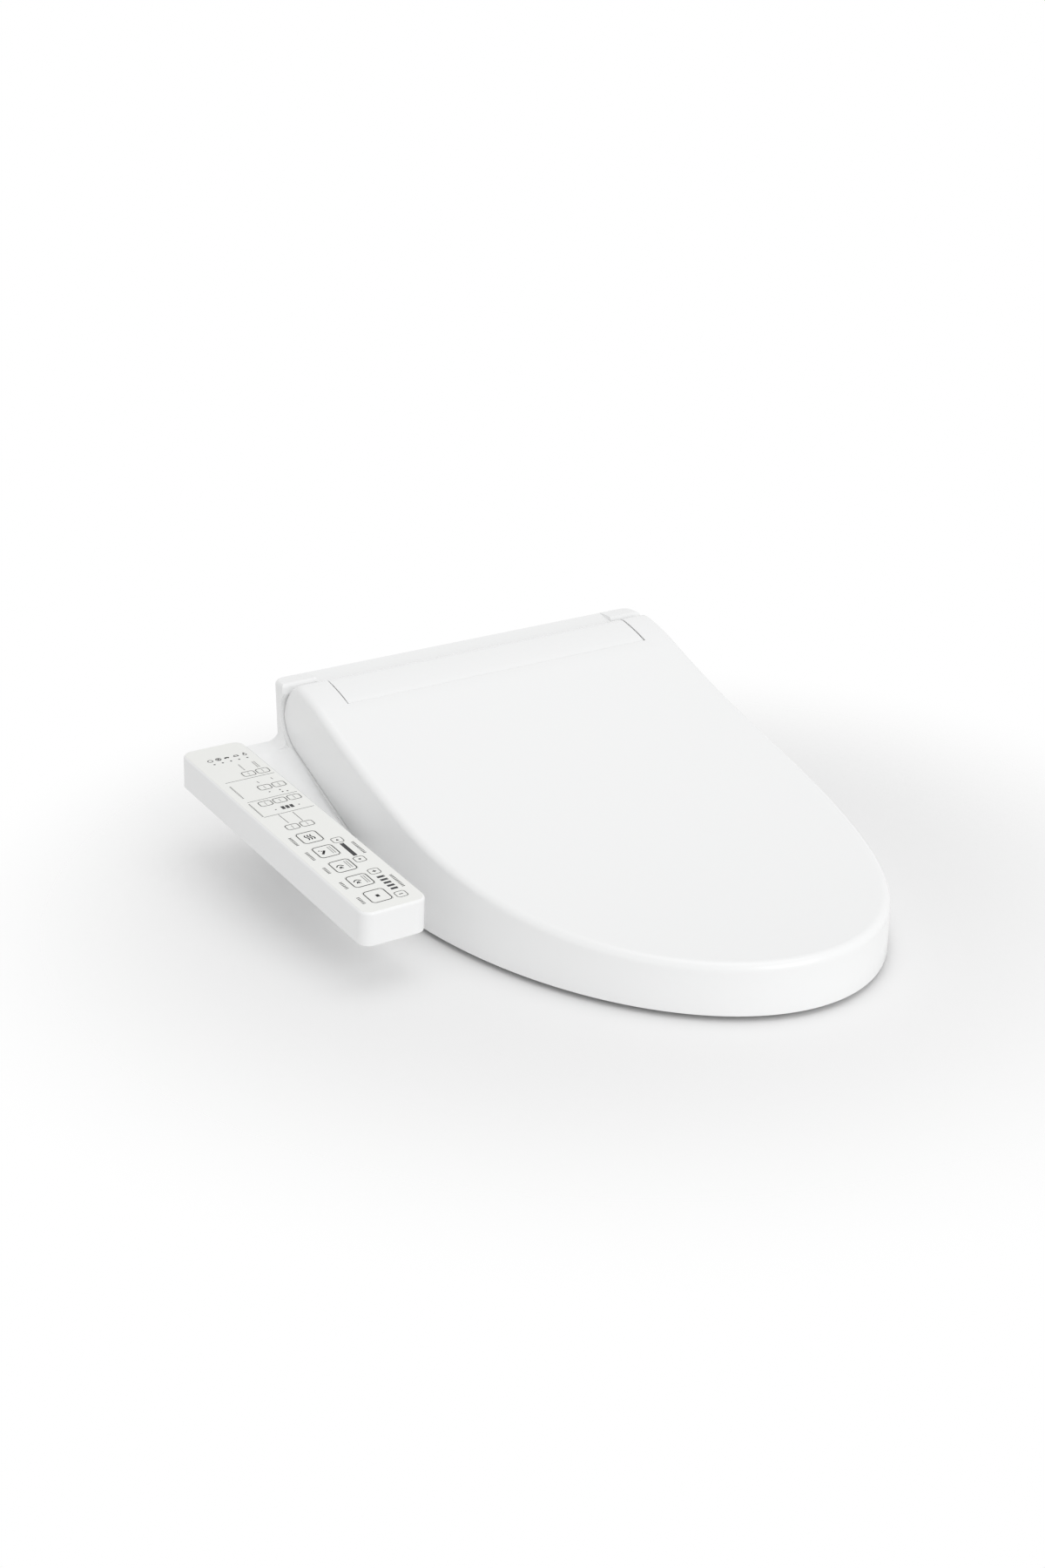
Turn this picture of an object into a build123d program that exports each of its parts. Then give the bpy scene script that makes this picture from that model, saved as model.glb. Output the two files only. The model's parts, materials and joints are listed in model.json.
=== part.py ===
from build123d import *
from math import atan, cos, degrees, pi, radians, sin, sqrt, tan
import os

# Electric bidet seat with a side control panel. Millimetres, +Z up, front of the seat towards -Y.
# The origin is midway between the two mounting bolts, on the plane of the pan's rim.

# Lid and seat outline in plan
TIP_Y = -470.0
NOSE_CENTRE_Y = -161.0
LID_HALF_W = 190.0
LID_WALL = 3.0
LID_TOP_WALL = 3.4
LID_EDGE_R = 7.0
SKIRT_Z = 3.0

# Side view of the lid: a convex crest over the hinge, then a long hollow sweep to the tip
SEAM_Y = -16.0
SEAM_Z = 140.0
SWEEP_SLOPE = 0.457
TIP_TOP_Z = 46.8
CREST_BULGE = 0.9

# Hinge line shared by lid and seat
HINGE_Y = 11.0
HINGE_Z = 119.5
EAR_R = 32.5
RIDGE_Y = 20.0
UNDER_ANGLE = 24.4
SHAFT_R = 6.0
SHAFT_FIT = 0.05
EAR_GAP = 1.2
EAR_SWING_GAP = 1.0

# Main unit casing
REAR_Y = 60.0
FRONT_Y = -88.0
CASE_HALF_W = 193.5
CASE_WALL = 3.0
CASE_BASE_Z = 1.0
CASE_FLOOR_Z = 13.0
BAY_FLOOR_Z = 4.0
BAY_L = 60.5
BAY_X = CASE_HALF_W - BAY_L
SPLIT_Z = 40.0
DECK_Z = 147.5
DECK_DIP = 4.3
DECK_DIP_Z = DECK_Z - DECK_DIP
DECK_EDGE_R = 4.0
CORNER_R = 11.0
TROUGH_REAR_Y = 38.5
TROUGH_FRONT_Y = -21.5
TROUGH_Z = 100.0
SLOPE_TOP_Z = 90.0
SLOPE_FOOT_Z = 55.0
MID_HALF_W = 155.0
HORN_FRONT_Y = -158.0
SEAT_LINE_GAP = 1.0

# Hinge cover between the lid's ears
EAR_W = 32.0
COVER_HALF_W = LID_HALF_W - EAR_W
COVER_WALL = 2.5
COVER_FIT = 0.3
COVER_R = 33.2
COVER_REAR_Z = 138.0

# Seat ring
SEAT_INSET = 7.0
SEAT_DROP = 12.0
SEAT_WALL = 4.0
SEAT_REAR_Y = -25.5
SEAT_BEAM_Y = -46.0
SEAT_REST_Z = 8.0
SEAT_KINK_Y = -190.0
SEAT_RISE_Y = -36.0
SEAT_RISE_Z = 92.0
SEAT_BASE_T = 3.0
SEAT_EDGE_R = 7.0
SEAT_SIDE_LIFT = 4.0
HOLE_Y = -250.0
HOLE_HALF_W = 102.0
HOLE_HALF_L = 135.0
ARM_GAP = 2.5
ARM_INNER_X = COVER_HALF_W + ARM_GAP
ARM_W = 12.0
ARM_HUB_R = 24.0
FOIL_T = 0.6
BUMPER_R = 7.0
REST_GAP = 0.3

# Control panel
PANEL_TILT = 5.0
PANEL_X = -255.0
PANEL_W = 58.0
PANEL_REF_Y = 48.0
PANEL_REF_Z = 95.0
PANEL_REAR = 12.5
PANEL_FRONT = -309.0
PANEL_H = 29.0
PANEL_WALL = 2.5
PANEL_CORNER_R = 10.0
PANEL_EDGE_R = 2.5
SHEET_T = 0.8
SHEET_INSET = 3.0
KEY_GAP = 0.3
KEY_T = 3.2
KEY_TRAVEL = 0.6
STEM_R = 2.0
BOARD_T = 1.6
BOARD_DEPTH = 9.6
LARGE_KEY = (18.0, 19.0)
SMALL_KEY = (11.5, 9.0)
ADJUST_KEY = (9.5, 9.0)
LARGE_KEY_X = -4.5
LARGE_KEY_V = -178.0
LARGE_KEY_PITCH = 27.3
COLUMN_X = (-8.0, 5.3, 18.6)
ADJUST_X = 12.7

# Wash wand and its rack drive
WAND_TILT = 20.0
WAND_EXIT_Z = 27.0
WAND_R = 7.0
WAND_BORE_R = 3.0
WAND_LENGTH = 138.0
TIP_LENGTH = 16.0
GEAR_MODULE = 1.2
PINION_TEETH = 10
PINION_W = 5.0
PINION_AT = 32.0
TOOTH_TIP = 0.7
TOOTH_ROOT = 1.6
TOOTH_H = 2.2
RACK_PITCH_H = 9.3
GUIDE_GAP = 0.3

# Warm air dryer
FAN_X = 88.0
FAN_Y = 12.0
FAN_R = 38.0
FAN_H = 28.0
FAN_WALL = 2.0
WHEEL_R = 30.0
BLADES = 16
DUCT_W = 40.0
DUCT_H = 24.0
DUCT_END_Y = -92.0
FLAP_T = 2.0
FLAP_PIN_R = 1.2

# Base plate that the unit slides on
PLATE_HALF_W = 121.5
RAIL_HALF_W = 131.0
PLATE_FRONT_Y = -50.0
PLATE_REAR_Y = 44.0
PLATE_T = 4.0
PLATE_CORNER_R = 14.0
RAIL_LOW_Z = 4.9
RAIL_HIGH_Z = 7.8
RAIL_GAP = 0.4
BOLT_SPACING = 140.0
BOLT_HOLE_R = 5.5
SLOT_L = 34.0
SLOT_W = 22.0

# Where the pads, dampers, arm and screws sit
LID_BUMPER_R = 6.0
LID_BUMPER_AT = ((50.0, -428.0), (130.0, -120.0))
SEAT_BUMPER_AT = ((70.0, -405.0), (140.0, -205.0))
FOIL_INSET = 18.0
ARM_TOP = 15.0
ARM_FALL = 3.0
ARM_DEPTH = 34.0
DAMPER_END = 8.0
DAMPER_L = 80.0
DAMPER_X = (COVER_HALF_W - DAMPER_END - DAMPER_L, COVER_HALF_W - DAMPER_END)
DAMPER_R = 13.0
SHAFT_DEPTH = 13.0
SHAFT_IN_X = DAMPER_X[1] - SHAFT_DEPTH
COVER_SEAM_ANGLE = 37.9
COVER_FOOT_ANGLE = 25.0
COVER_CREST_R = 14.0
COVER_BACK_ANGLE = 52.0
COVER_BACK_R = 32.6
ARM_STEP = 1.2
ARM_BEND_Y = 30.0
ARM_FRONT_Y = -136.0
ARM_ROOT_R = 12.0
SCREW_IN = 15.5
SCREW_Y = (51.5, -40.0)
SCREW_AT = [(side * (CASE_HALF_W - SCREW_IN), y) for y in SCREW_Y for side in (-1, 1)]
SCREW_R = 1.9
BOSS_R = 6.0
BOSS_H = 14.0
FIT_GAP = 0.1
EDGE_BREAK = 1.0

# Openings and fittings of the lower casing
DUCT_X = 70.0
DUCT_START_Y = -27.0
WAND_SLOT_W = 26.0
WAND_SLOT_Z = (14.0, 39.0)
INLET_Y = 32.0
INLET_Z = 22.0
INLET_R = 10.4
INLET_NECK_R = 9.0
INLET_BORE_R = 5.5
INLET_FLANGE = 3.0
INLET_NUT = 6.0
INLET_L = 16.0
FILTER_Y = -12.0
FILTER_R = 10.0
FILTER_CAP_T = 3.0
GLAND_IN = 43.5
GLAND_X = CASE_HALF_W - GLAND_IN
GLAND_Z = 26.0
GLAND_R = 6.0
GLAND_BORE_R = 3.5
GLAND_L = 4.0
BUTTON_Y = 25.0
BUTTON_Z = 16.0
BUTTON_L = 28.0
BUTTON_H = 13.0
BUTTON_T = 6.0
BUTTON_PROUD = 1.5
BUTTON_GAP = 0.4
BUTTON_STEM_R = 3.0
STEM_RIB_IN = 47.5
STEM_RIB_X = CASE_HALF_W - STEM_RIB_IN
FILTER_BOX_L = 51.5
FILTER_BOX_X = CASE_HALF_W - FILTER_BOX_L
FILTER_BOX_Y = (-82.0, -50.0)
FILTER_BOX_Z = (4.1, 29.0)
LOUVRES = 4
LOUVRE_PITCH = 5.0
SCREW_HEAD_R = 3.6
SCREW_HEAD_H = 3.0
SCREW_HEAD_Z = 8.0
INSERT_LIP = 5.0

# Water parts
VALVE_L = 40.0
VALVE_W = 24.0
VALVE_TOP_Z = 36.0
COIL_R = 11.0
COIL_H = 24.0
PUMP_L = 50.0
HOSE_RUN = 35.5
PUMP_Y = -18.0
PUMP_Z = 29.0
PUMP_R = 15.0
HEATER_L = 80.0
HEATER_Y = (14.0, 48.0)
HEATER_TOP_Z = 66.0
HEATER_FINS = 8
HOSE_R = 4.0
HOSE_BEND_R = 9.0

# Wand drive
CRADLE_S = (6.0, 128.0)
CRADLE_RIB_S = (12.0, 62.0, 112.0)
CRADLE_RIB_T = 5.0
MOTOR_R = 8.5
MOTOR_L = 20.0
MOTOR_SHAFT_R = 2.0
TOOTH_HEAD = 0.95
SPRAY_DEPTH = 1.2
SPRAY_R = 0.7
SPRAY_PITCH = 2.4

# Fan, duct and board
WHEEL_H = 20.0
WHEEL_HUB_R = 7.0
WHEEL_EYE_R = 22.0
BLADE_L = 10.0
BLADE_T = 1.4
BLADE_TURN = 35.0
FAN_MOTOR_R = 14.0
FAN_MOTOR_H = 20.0
FLAP_Y = -89.4
FLAP_PIN_Z = 32.6
FLAP_GAP = 0.4
AIR_HEATER_Y = (-66.0, -40.0)
AIR_SLOTS = 9
BOARD_POST_IN = (52.5, 13.5)
BOARD_POST_X = [CASE_HALF_W - inset for inset in BOARD_POST_IN]
BOARD_POST_Y = (-12.0, 36.0)
POST_R = 3.5
MAIN_BOARD_Z = 43.0
TRANSFORMER_H = 12.0
CAPACITOR_R = 5.5
CAPACITOR_H = 16.0

# Keys and indicators on the panel, measured from its centre line and reference point
KEY_CORNER = 2.2
KEY_REST = 0.2
BOARD_W = 50.0
SMALL_ROW_V = (-51.0, -80.5, -107.8, -155.3)
SMALL_ROWS = (
    (None, "key_deodoriser", "key_energy_saver"),
    (None, "key_memory_one", "key_memory_two"),
    ("key_water_heat", "key_seat_heat", "key_air_heat"),
    ("key_oscillate", "key_pulse"),
)
ADJUST_KEYS = (
    ("key_position_back", -192.6),
    ("key_position_forward", -229.2),
    ("key_pressure_up", -252.0),
    ("key_pressure_down", -293.3),
)
DOTS = 5
DOT_R = 0.9
DOT_X = -12.5
DOT_V = -22.0
DOT_PITCH = 7.8
# Each run of bars: x, first v, step in x, step in v, (width, length), and how many bars it has
BAR_RUNS = (
    (1.2, -121.5, 4.0, 0.0, (2.4, 4.6)),
    (12.7, -210.9, 0.0, 0.0, (2.6, 22.0)),
    (12.7, -262.3, 0.0, -5.2, (5.4, 2.2)),
)
BAR_COUNTS = (3, 1, 5)


def swept_top(y):
    """Height of the lid's top along the hollow sweep, from the seam to the tip."""
    run = SEAM_Y - y
    full = SEAM_Y - TIP_Y
    curve = (TIP_TOP_Z - SEAM_Z + SWEEP_SLOPE * full) / full**2
    return SEAM_Z - SWEEP_SLOPE * run + curve * run**2


def swept_slope(y):
    """Slope of the sweep, dz over dy."""
    full = SEAM_Y - TIP_Y
    curve = (TIP_TOP_Z - SEAM_Z + SWEEP_SLOPE * full) / full**2
    return SWEEP_SLOPE - 2 * curve * (SEAM_Y - y)


def under_line(y, drop=0.0):
    """Height of the slanted edge under the lid's ears, lowered square to itself by drop."""
    slant = radians(UNDER_ANGLE)
    touch_y = HINGE_Y + EAR_R * sin(slant)
    touch_z = HINGE_Z - EAR_R * cos(slant)
    return touch_z - (touch_y - y) * tan(slant) - drop / cos(slant)


def under_line_y(z, drop=0.0):
    """Place along Y where the slanted edge passes a height."""
    slant = radians(UNDER_ANGLE)
    return (z - under_line(0.0, drop)) / tan(slant)


def seat_base_line(y):
    """Height of the seat's underside, level at the front and rising over the main unit."""
    rise = (SEAT_RISE_Z - SEAT_REST_Z) / (SEAT_RISE_Y - SEAT_KINK_Y)
    return SEAT_REST_Z + max(0.0, y - SEAT_KINK_Y) * rise


def on_ear(angle, radius):
    """Point on a circle round the hinge line; angle 0 points to the rear."""
    return (HINGE_Y + radius * cos(radians(angle)), HINGE_Z + radius * sin(radians(angle)))


RIDGE_Z = HINGE_Z + sqrt(EAR_R**2 - (RIDGE_Y - HINGE_Y) ** 2)
LOW_Z = -30.0
FAR_Z = 200.0
BEYOND = 6.0
TIP_END_Y = TIP_Y - BEYOND


def nose_plan(half_w, tip_y, rear_y):
    """Straight sides that run into a half ellipse at the front."""
    with BuildLine() as outline:
        Polyline(
            (-half_w, NOSE_CENTRE_Y),
            (-half_w, rear_y),
            (half_w, rear_y),
            (half_w, NOSE_CENTRE_Y),
        )
        EllipticalCenterArc((0, NOSE_CENTRE_Y), half_w, NOSE_CENTRE_Y - tip_y, 180, arc_size=180)
    make_face(outline.edges())


def sweep_edge(drop, rear_y):
    """The hollow sweep of the top, lowered by drop, from rear_y to beyond the tip."""
    mid_y = (rear_y + TIP_END_Y) / 2
    mid_z = swept_top(rear_y) + swept_slope(rear_y) * (mid_y - rear_y)
    return Bezier(
        (rear_y, swept_top(rear_y) - drop),
        (mid_y, mid_z - drop),
        (TIP_END_Y, swept_top(TIP_END_Y) - drop),
    )


def crest_edge(drop):
    """The convex crest from the ridge to the seam, lowered by drop."""
    mid = ((RIDGE_Y + SEAM_Y) / 2, (RIDGE_Z + SEAM_Z) / 2 + CREST_BULGE)
    return ThreePointArc((RIDGE_Y, RIDGE_Z - drop), (mid[0], mid[1] - drop), (SEAM_Y, SEAM_Z - drop))


def band_under_sweep(top_drop, low_drop, rear_y):
    """A band that follows the sweep, between two depths below the lid's top."""
    with BuildLine() as outline:
        sweep_edge(top_drop, rear_y)
        Line(
            (TIP_END_Y, swept_top(TIP_END_Y) - top_drop),
            (TIP_END_Y, swept_top(TIP_END_Y) - low_drop),
        )
        sweep_edge(low_drop, rear_y)
        Line((rear_y, swept_top(rear_y) - low_drop), (rear_y, swept_top(rear_y) - top_drop))
    make_face(outline.edges())


def x_slab(low_x, high_x):
    """Plane at low_x facing +X, and the distance to high_x."""
    return Plane.YZ.offset(low_x), high_x - low_x


def span_box(low, high, mode=Mode.ADD):
    """A box between two corners."""
    with Locations(tuple((a + b) / 2 for a, b in zip(low, high))):
        Box(*(b - a for a, b in zip(low, high)), mode=mode)


def rod(base, along, radius, length, mode=Mode.ADD):
    """A cylinder from a base point along a direction."""
    with Locations(Plane(origin=base, z_dir=along)):
        Cylinder(radius, length, align=(Align.CENTER, Align.CENTER, Align.MIN), mode=mode)


def on_seat_top(edge):
    """True for the curved edges round the seat's top, outside and at the hole."""
    mid = edge @ 0.5
    return edge.geom_type != GeomType.LINE and mid.Z > swept_top(mid.Y) - SEAT_DROP - 1


pieces = []


def keep(builder, name):
    """Label a finished piece and put it on the list to be written."""
    builder.part.label = name
    pieces.append(builder.part)


# Lid: outer form, hollow, hinge bay and hubs
lid_touch = on_ear(UNDER_ANGLE - 90, EAR_R)
with BuildPart() as lid_hollow:
    with BuildSketch(Plane.XY.offset(LOW_Z)):
        nose_plan(LID_HALF_W - LID_WALL, TIP_Y + LID_WALL, REAR_Y)
    extrude(amount=FAR_Z - LOW_Z)
    with BuildSketch(Plane.YZ):
        with BuildLine():
            crest_edge(LID_TOP_WALL)
            sweep_edge(LID_TOP_WALL, SEAM_Y)
            Polyline(
                (TIP_END_Y, swept_top(TIP_END_Y) - LID_TOP_WALL),
                (TIP_END_Y, LOW_Z),
                (REAR_Y + BEYOND, LOW_Z),
                (REAR_Y + BEYOND, RIDGE_Z - LID_TOP_WALL),
                (RIDGE_Y, RIDGE_Z - LID_TOP_WALL),
            )
        make_face()
    extrude(amount=LID_HALF_W, both=True, mode=Mode.INTERSECT)
    hub_x = ARM_INNER_X + ARM_W + EAR_GAP
    for side in (-1, 1):
        with BuildSketch(Plane.YZ.offset(side * hub_x)):
            with BuildLine():
                Polyline((HINGE_Y, FAR_Z), (REAR_Y + BEYOND, FAR_Z), (REAR_Y + BEYOND, LOW_Z))
                Line((REAR_Y + BEYOND, LOW_Z), (lid_touch[0], LOW_Z))
                Line((lid_touch[0], LOW_Z), on_ear(UNDER_ANGLE - 90, EAR_R - LID_WALL))
                ThreePointArc(
                    on_ear(UNDER_ANGLE - 90, EAR_R - LID_WALL),
                    on_ear(0, EAR_R - LID_WALL),
                    on_ear(90, EAR_R - LID_WALL),
                )
                Line(on_ear(90, EAR_R - LID_WALL), (HINGE_Y, FAR_Z))
            make_face()
        extrude(amount=side * (LID_HALF_W - hub_x), mode=Mode.SUBTRACT)

with BuildPart() as lid_shell:
    with BuildSketch(Plane.XY.offset(LOW_Z)):
        nose_plan(LID_HALF_W, TIP_Y, REAR_Y)
    extrude(amount=FAR_Z - LOW_Z)
    with BuildSketch(Plane.YZ):
        with BuildLine():
            crest_edge(0)
            sweep_edge(0, SEAM_Y)
            Polyline(
                (TIP_END_Y, swept_top(TIP_END_Y)),
                (TIP_END_Y, SKIRT_Z),
                (under_line_y(SKIRT_Z), SKIRT_Z),
                lid_touch,
            )
            ThreePointArc(lid_touch, on_ear(0, EAR_R), (RIDGE_Y, RIDGE_Z))
        make_face()
    extrude(amount=LID_HALF_W + BEYOND, both=True, mode=Mode.INTERSECT)
    top_edges = lid_shell.edges().filter_by(
        lambda e: e.geom_type != GeomType.LINE
        and abs(e.center().X) < LID_HALF_W + 1
        and (e @ 0.5).Z > swept_top(min((e @ 0.5).Y, SEAM_Y)) - 4
        and (e @ 0.5).Y < SEAM_Y
    )
    fillet(top_edges, LID_EDGE_R)
    add(lid_hollow.part, mode=Mode.SUBTRACT)
    bay_plane, bay_w = x_slab(-COVER_HALF_W - EAR_GAP, COVER_HALF_W + EAR_GAP)
    with BuildSketch(bay_plane):
        with Locations((HINGE_Y, HINGE_Z)):
            Circle(COVER_R + SEAT_LINE_GAP)
        with Locations(((HINGE_Y + REAR_Y) / 2, HINGE_Z)):
            Rectangle(REAR_Y - HINGE_Y, FAR_Z)
    extrude(amount=bay_w, mode=Mode.SUBTRACT)
    for side in (-1, 1):
        with BuildSketch(Plane.YZ.offset(side * hub_x)):
            with Locations((HINGE_Y, HINGE_Z)):
                Circle(SHAFT_R + 2 * LID_WALL)
        extrude(amount=side * (LID_HALF_W - LID_WALL / 2 - hub_x))
        with BuildSketch(Plane.YZ.offset(side * (hub_x - 1))):
            with Locations((HINGE_Y, HINGE_Z)):
                Circle(SHAFT_R + SHAFT_FIT)
        extrude(amount=side * (LID_HALF_W - LID_WALL + 1 - hub_x), mode=Mode.SUBTRACT)
keep(lid_shell, "lid_shell")

with BuildPart() as lid_bumpers:
    with BuildSketch(Plane.YZ):
        band_under_sweep(LID_TOP_WALL, SEAT_DROP - REST_GAP, SEAT_REAR_Y)
    extrude(amount=LID_HALF_W, both=True)
    with BuildSketch(Plane.XY):
        with Locations(*[(side * x, y) for x, y in LID_BUMPER_AT for side in (-1, 1)]):
            Circle(LID_BUMPER_R)
    extrude(amount=FAR_Z, mode=Mode.INTERSECT)
keep(lid_bumpers, "lid_bumpers")

# Seat: heated top shell, closing base, foil heater and rim bumpers
SEAT_HALF_W = LID_HALF_W - SEAT_INSET
SEAT_TIP_Y = TIP_Y + SEAT_INSET

with BuildPart() as seat_hollow:
    with BuildSketch(Plane.XY.offset(LOW_Z)):
        nose_plan(SEAT_HALF_W - SEAT_WALL, SEAT_TIP_Y + SEAT_WALL, SEAT_BEAM_Y)
        with Locations((0, HOLE_Y)):
            Ellipse(HOLE_HALF_W + SEAT_WALL, HOLE_HALF_L + SEAT_WALL, mode=Mode.SUBTRACT)
    extrude(amount=FAR_Z - LOW_Z)
    with BuildSketch(Plane.YZ):
        band_under_sweep(SEAT_DROP + SEAT_WALL, SEAT_DROP + FAR_Z, SEAT_REAR_Y)
    extrude(amount=LID_HALF_W, both=True, mode=Mode.INTERSECT)

with BuildPart() as seat_top:
    with BuildSketch(Plane.XY.offset(LOW_Z)):
        nose_plan(SEAT_HALF_W, SEAT_TIP_Y, SEAT_REAR_Y)
    extrude(amount=FAR_Z - LOW_Z)
    side_low_z = under_line(SEAT_REAR_Y, -SEAT_SIDE_LIFT)
    side_low_y = under_line_y(SEAT_REST_Z, -SEAT_SIDE_LIFT)
    with BuildSketch(Plane.YZ):
        with BuildLine():
            sweep_edge(SEAT_DROP, SEAT_REAR_Y)
            Polyline(
                (TIP_END_Y, swept_top(TIP_END_Y) - SEAT_DROP),
                (TIP_END_Y, SEAT_REST_Z),
                (side_low_y, SEAT_REST_Z),
                (SEAT_REAR_Y, side_low_z),
                (SEAT_REAR_Y, swept_top(SEAT_REAR_Y) - SEAT_DROP),
            )
        make_face()
    extrude(amount=LID_HALF_W, both=True, mode=Mode.INTERSECT)
    with BuildSketch(Plane.XY.offset(LOW_Z)):
        with Locations((0, HOLE_Y)):
            Ellipse(HOLE_HALF_W, HOLE_HALF_L)
    extrude(amount=FAR_Z - LOW_Z, mode=Mode.SUBTRACT)
    fillet(seat_top.edges().filter_by(on_seat_top), SEAT_EDGE_R)
    add(seat_hollow.part, mode=Mode.SUBTRACT)
    with BuildSketch(Plane.YZ):
        with BuildLine():
            Polyline(
                (SEAT_KINK_Y, SEAT_REST_Z),
                (SEAT_REAR_Y + BEYOND, seat_base_line(SEAT_REAR_Y + BEYOND)),
                (SEAT_REAR_Y + BEYOND, LOW_Z),
                (SEAT_KINK_Y, LOW_Z),
                close=True,
            )
        make_face()
    extrude(amount=MID_HALF_W + COVER_WALL, both=True, mode=Mode.SUBTRACT)
    for side in (-1, 1):
        with BuildSketch(Plane.YZ.offset(side * ARM_INNER_X)):
            with Locations((HINGE_Y, HINGE_Z)):
                Circle(ARM_HUB_R)
            with BuildLine():
                Polyline(
                    (HINGE_Y, HINGE_Z + ARM_TOP),
                    (SEAT_REAR_Y - BEYOND, HINGE_Z - ARM_FALL),
                    (SEAT_REAR_Y - BEYOND, HINGE_Z - ARM_FALL - ARM_DEPTH),
                    (HINGE_Y, HINGE_Z - ARM_HUB_R),
                    close=True,
                )
            make_face()
            with Locations((HINGE_Y, HINGE_Z)):
                Circle(SHAFT_R + SHAFT_FIT, mode=Mode.SUBTRACT)
        extrude(amount=side * ARM_W)
keep(seat_top, "seat_top")

with BuildPart() as seat_base:
    with BuildSketch(Plane.XY.offset(LOW_Z)):
        inset = SEAT_WALL + FIT_GAP
        nose_plan(SEAT_HALF_W - inset, SEAT_TIP_Y + inset, SEAT_BEAM_Y - FIT_GAP)
        with Locations((0, HOLE_Y)):
            Ellipse(HOLE_HALF_W + inset, HOLE_HALF_L + inset, mode=Mode.SUBTRACT)
    extrude(amount=FAR_Z - LOW_Z)
    with BuildSketch(Plane.YZ):
        with BuildLine():
            Polyline(
                (TIP_END_Y, SEAT_REST_Z),
                (SEAT_KINK_Y, SEAT_REST_Z),
                (SEAT_BEAM_Y + BEYOND, seat_base_line(SEAT_BEAM_Y + BEYOND)),
                (SEAT_BEAM_Y + BEYOND, seat_base_line(SEAT_BEAM_Y + BEYOND) + SEAT_BASE_T),
                (SEAT_KINK_Y, SEAT_REST_Z + SEAT_BASE_T),
                (TIP_END_Y, SEAT_REST_Z + SEAT_BASE_T),
                close=True,
            )
        make_face()
    extrude(amount=LID_HALF_W, both=True, mode=Mode.INTERSECT)
keep(seat_base, "seat_base")

with BuildPart() as seat_heater:
    with BuildSketch(Plane.XY):
        nose_plan(SEAT_HALF_W - FOIL_INSET, SEAT_TIP_Y + FOIL_INSET, SEAT_BEAM_Y - FOIL_INSET)
        with Locations((0, HOLE_Y)):
            Ellipse(HOLE_HALF_W + FOIL_INSET, HOLE_HALF_L + FOIL_INSET, mode=Mode.SUBTRACT)
    extrude(amount=FAR_Z)
    with BuildSketch(Plane.YZ):
        foil_drop = SEAT_DROP + SEAT_WALL + FIT_GAP
        band_under_sweep(foil_drop, foil_drop + FOIL_T, SEAT_REAR_Y)
    extrude(amount=LID_HALF_W, both=True, mode=Mode.INTERSECT)
keep(seat_heater, "seat_heater")

with BuildPart() as seat_bumpers:
    with BuildSketch(Plane.XY):
        with Locations(*[(side * x, y) for x, y in SEAT_BUMPER_AT for side in (-1, 1)]):
            Circle(BUMPER_R)
    extrude(amount=SEAT_REST_Z)
    chamfer(seat_bumpers.faces().sort_by(Axis.Z)[:4].edges(), EDGE_BREAK)
keep(seat_bumpers, "seat_bumpers")

# Hinge shafts and the two soft-close dampers that carry them
with BuildPart() as hinge_shafts:
    for side in (-1, 1):
        rod((side * SHAFT_IN_X, HINGE_Y, HINGE_Z), (side, 0, 0), SHAFT_R,
            LID_HALF_W - LID_WALL - REST_GAP - SHAFT_IN_X)
keep(hinge_shafts, "hinge_shafts")


def damper(side):
    """Soft-close damper: a drum on the hinge line with a foot in the casing's trough."""
    with BuildPart() as drum:
        rod((side * DAMPER_X[0], HINGE_Y, HINGE_Z), (side, 0, 0), DAMPER_R, DAMPER_X[1] - DAMPER_X[0])
        low_x, high_x = sorted(side * x for x in DAMPER_X)
        span_box(
            (low_x + DAMPER_R, HINGE_Y - DAMPER_R / 2, TROUGH_Z),
            (high_x - DAMPER_R, HINGE_Y + DAMPER_R / 2, HINGE_Z),
        )
        rod((side * SHAFT_IN_X, HINGE_Y, HINGE_Z), (side, 0, 0), SHAFT_R + SHAFT_FIT,
            DAMPER_X[1], mode=Mode.SUBTRACT)
        chamfer(drum.faces().filter_by(GeomType.PLANE).sort_by(Axis.X)[0].edges(), EDGE_BREAK)
    return drum


keep(damper(-1), "seat_damper")
keep(damper(1), "lid_damper")

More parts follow.
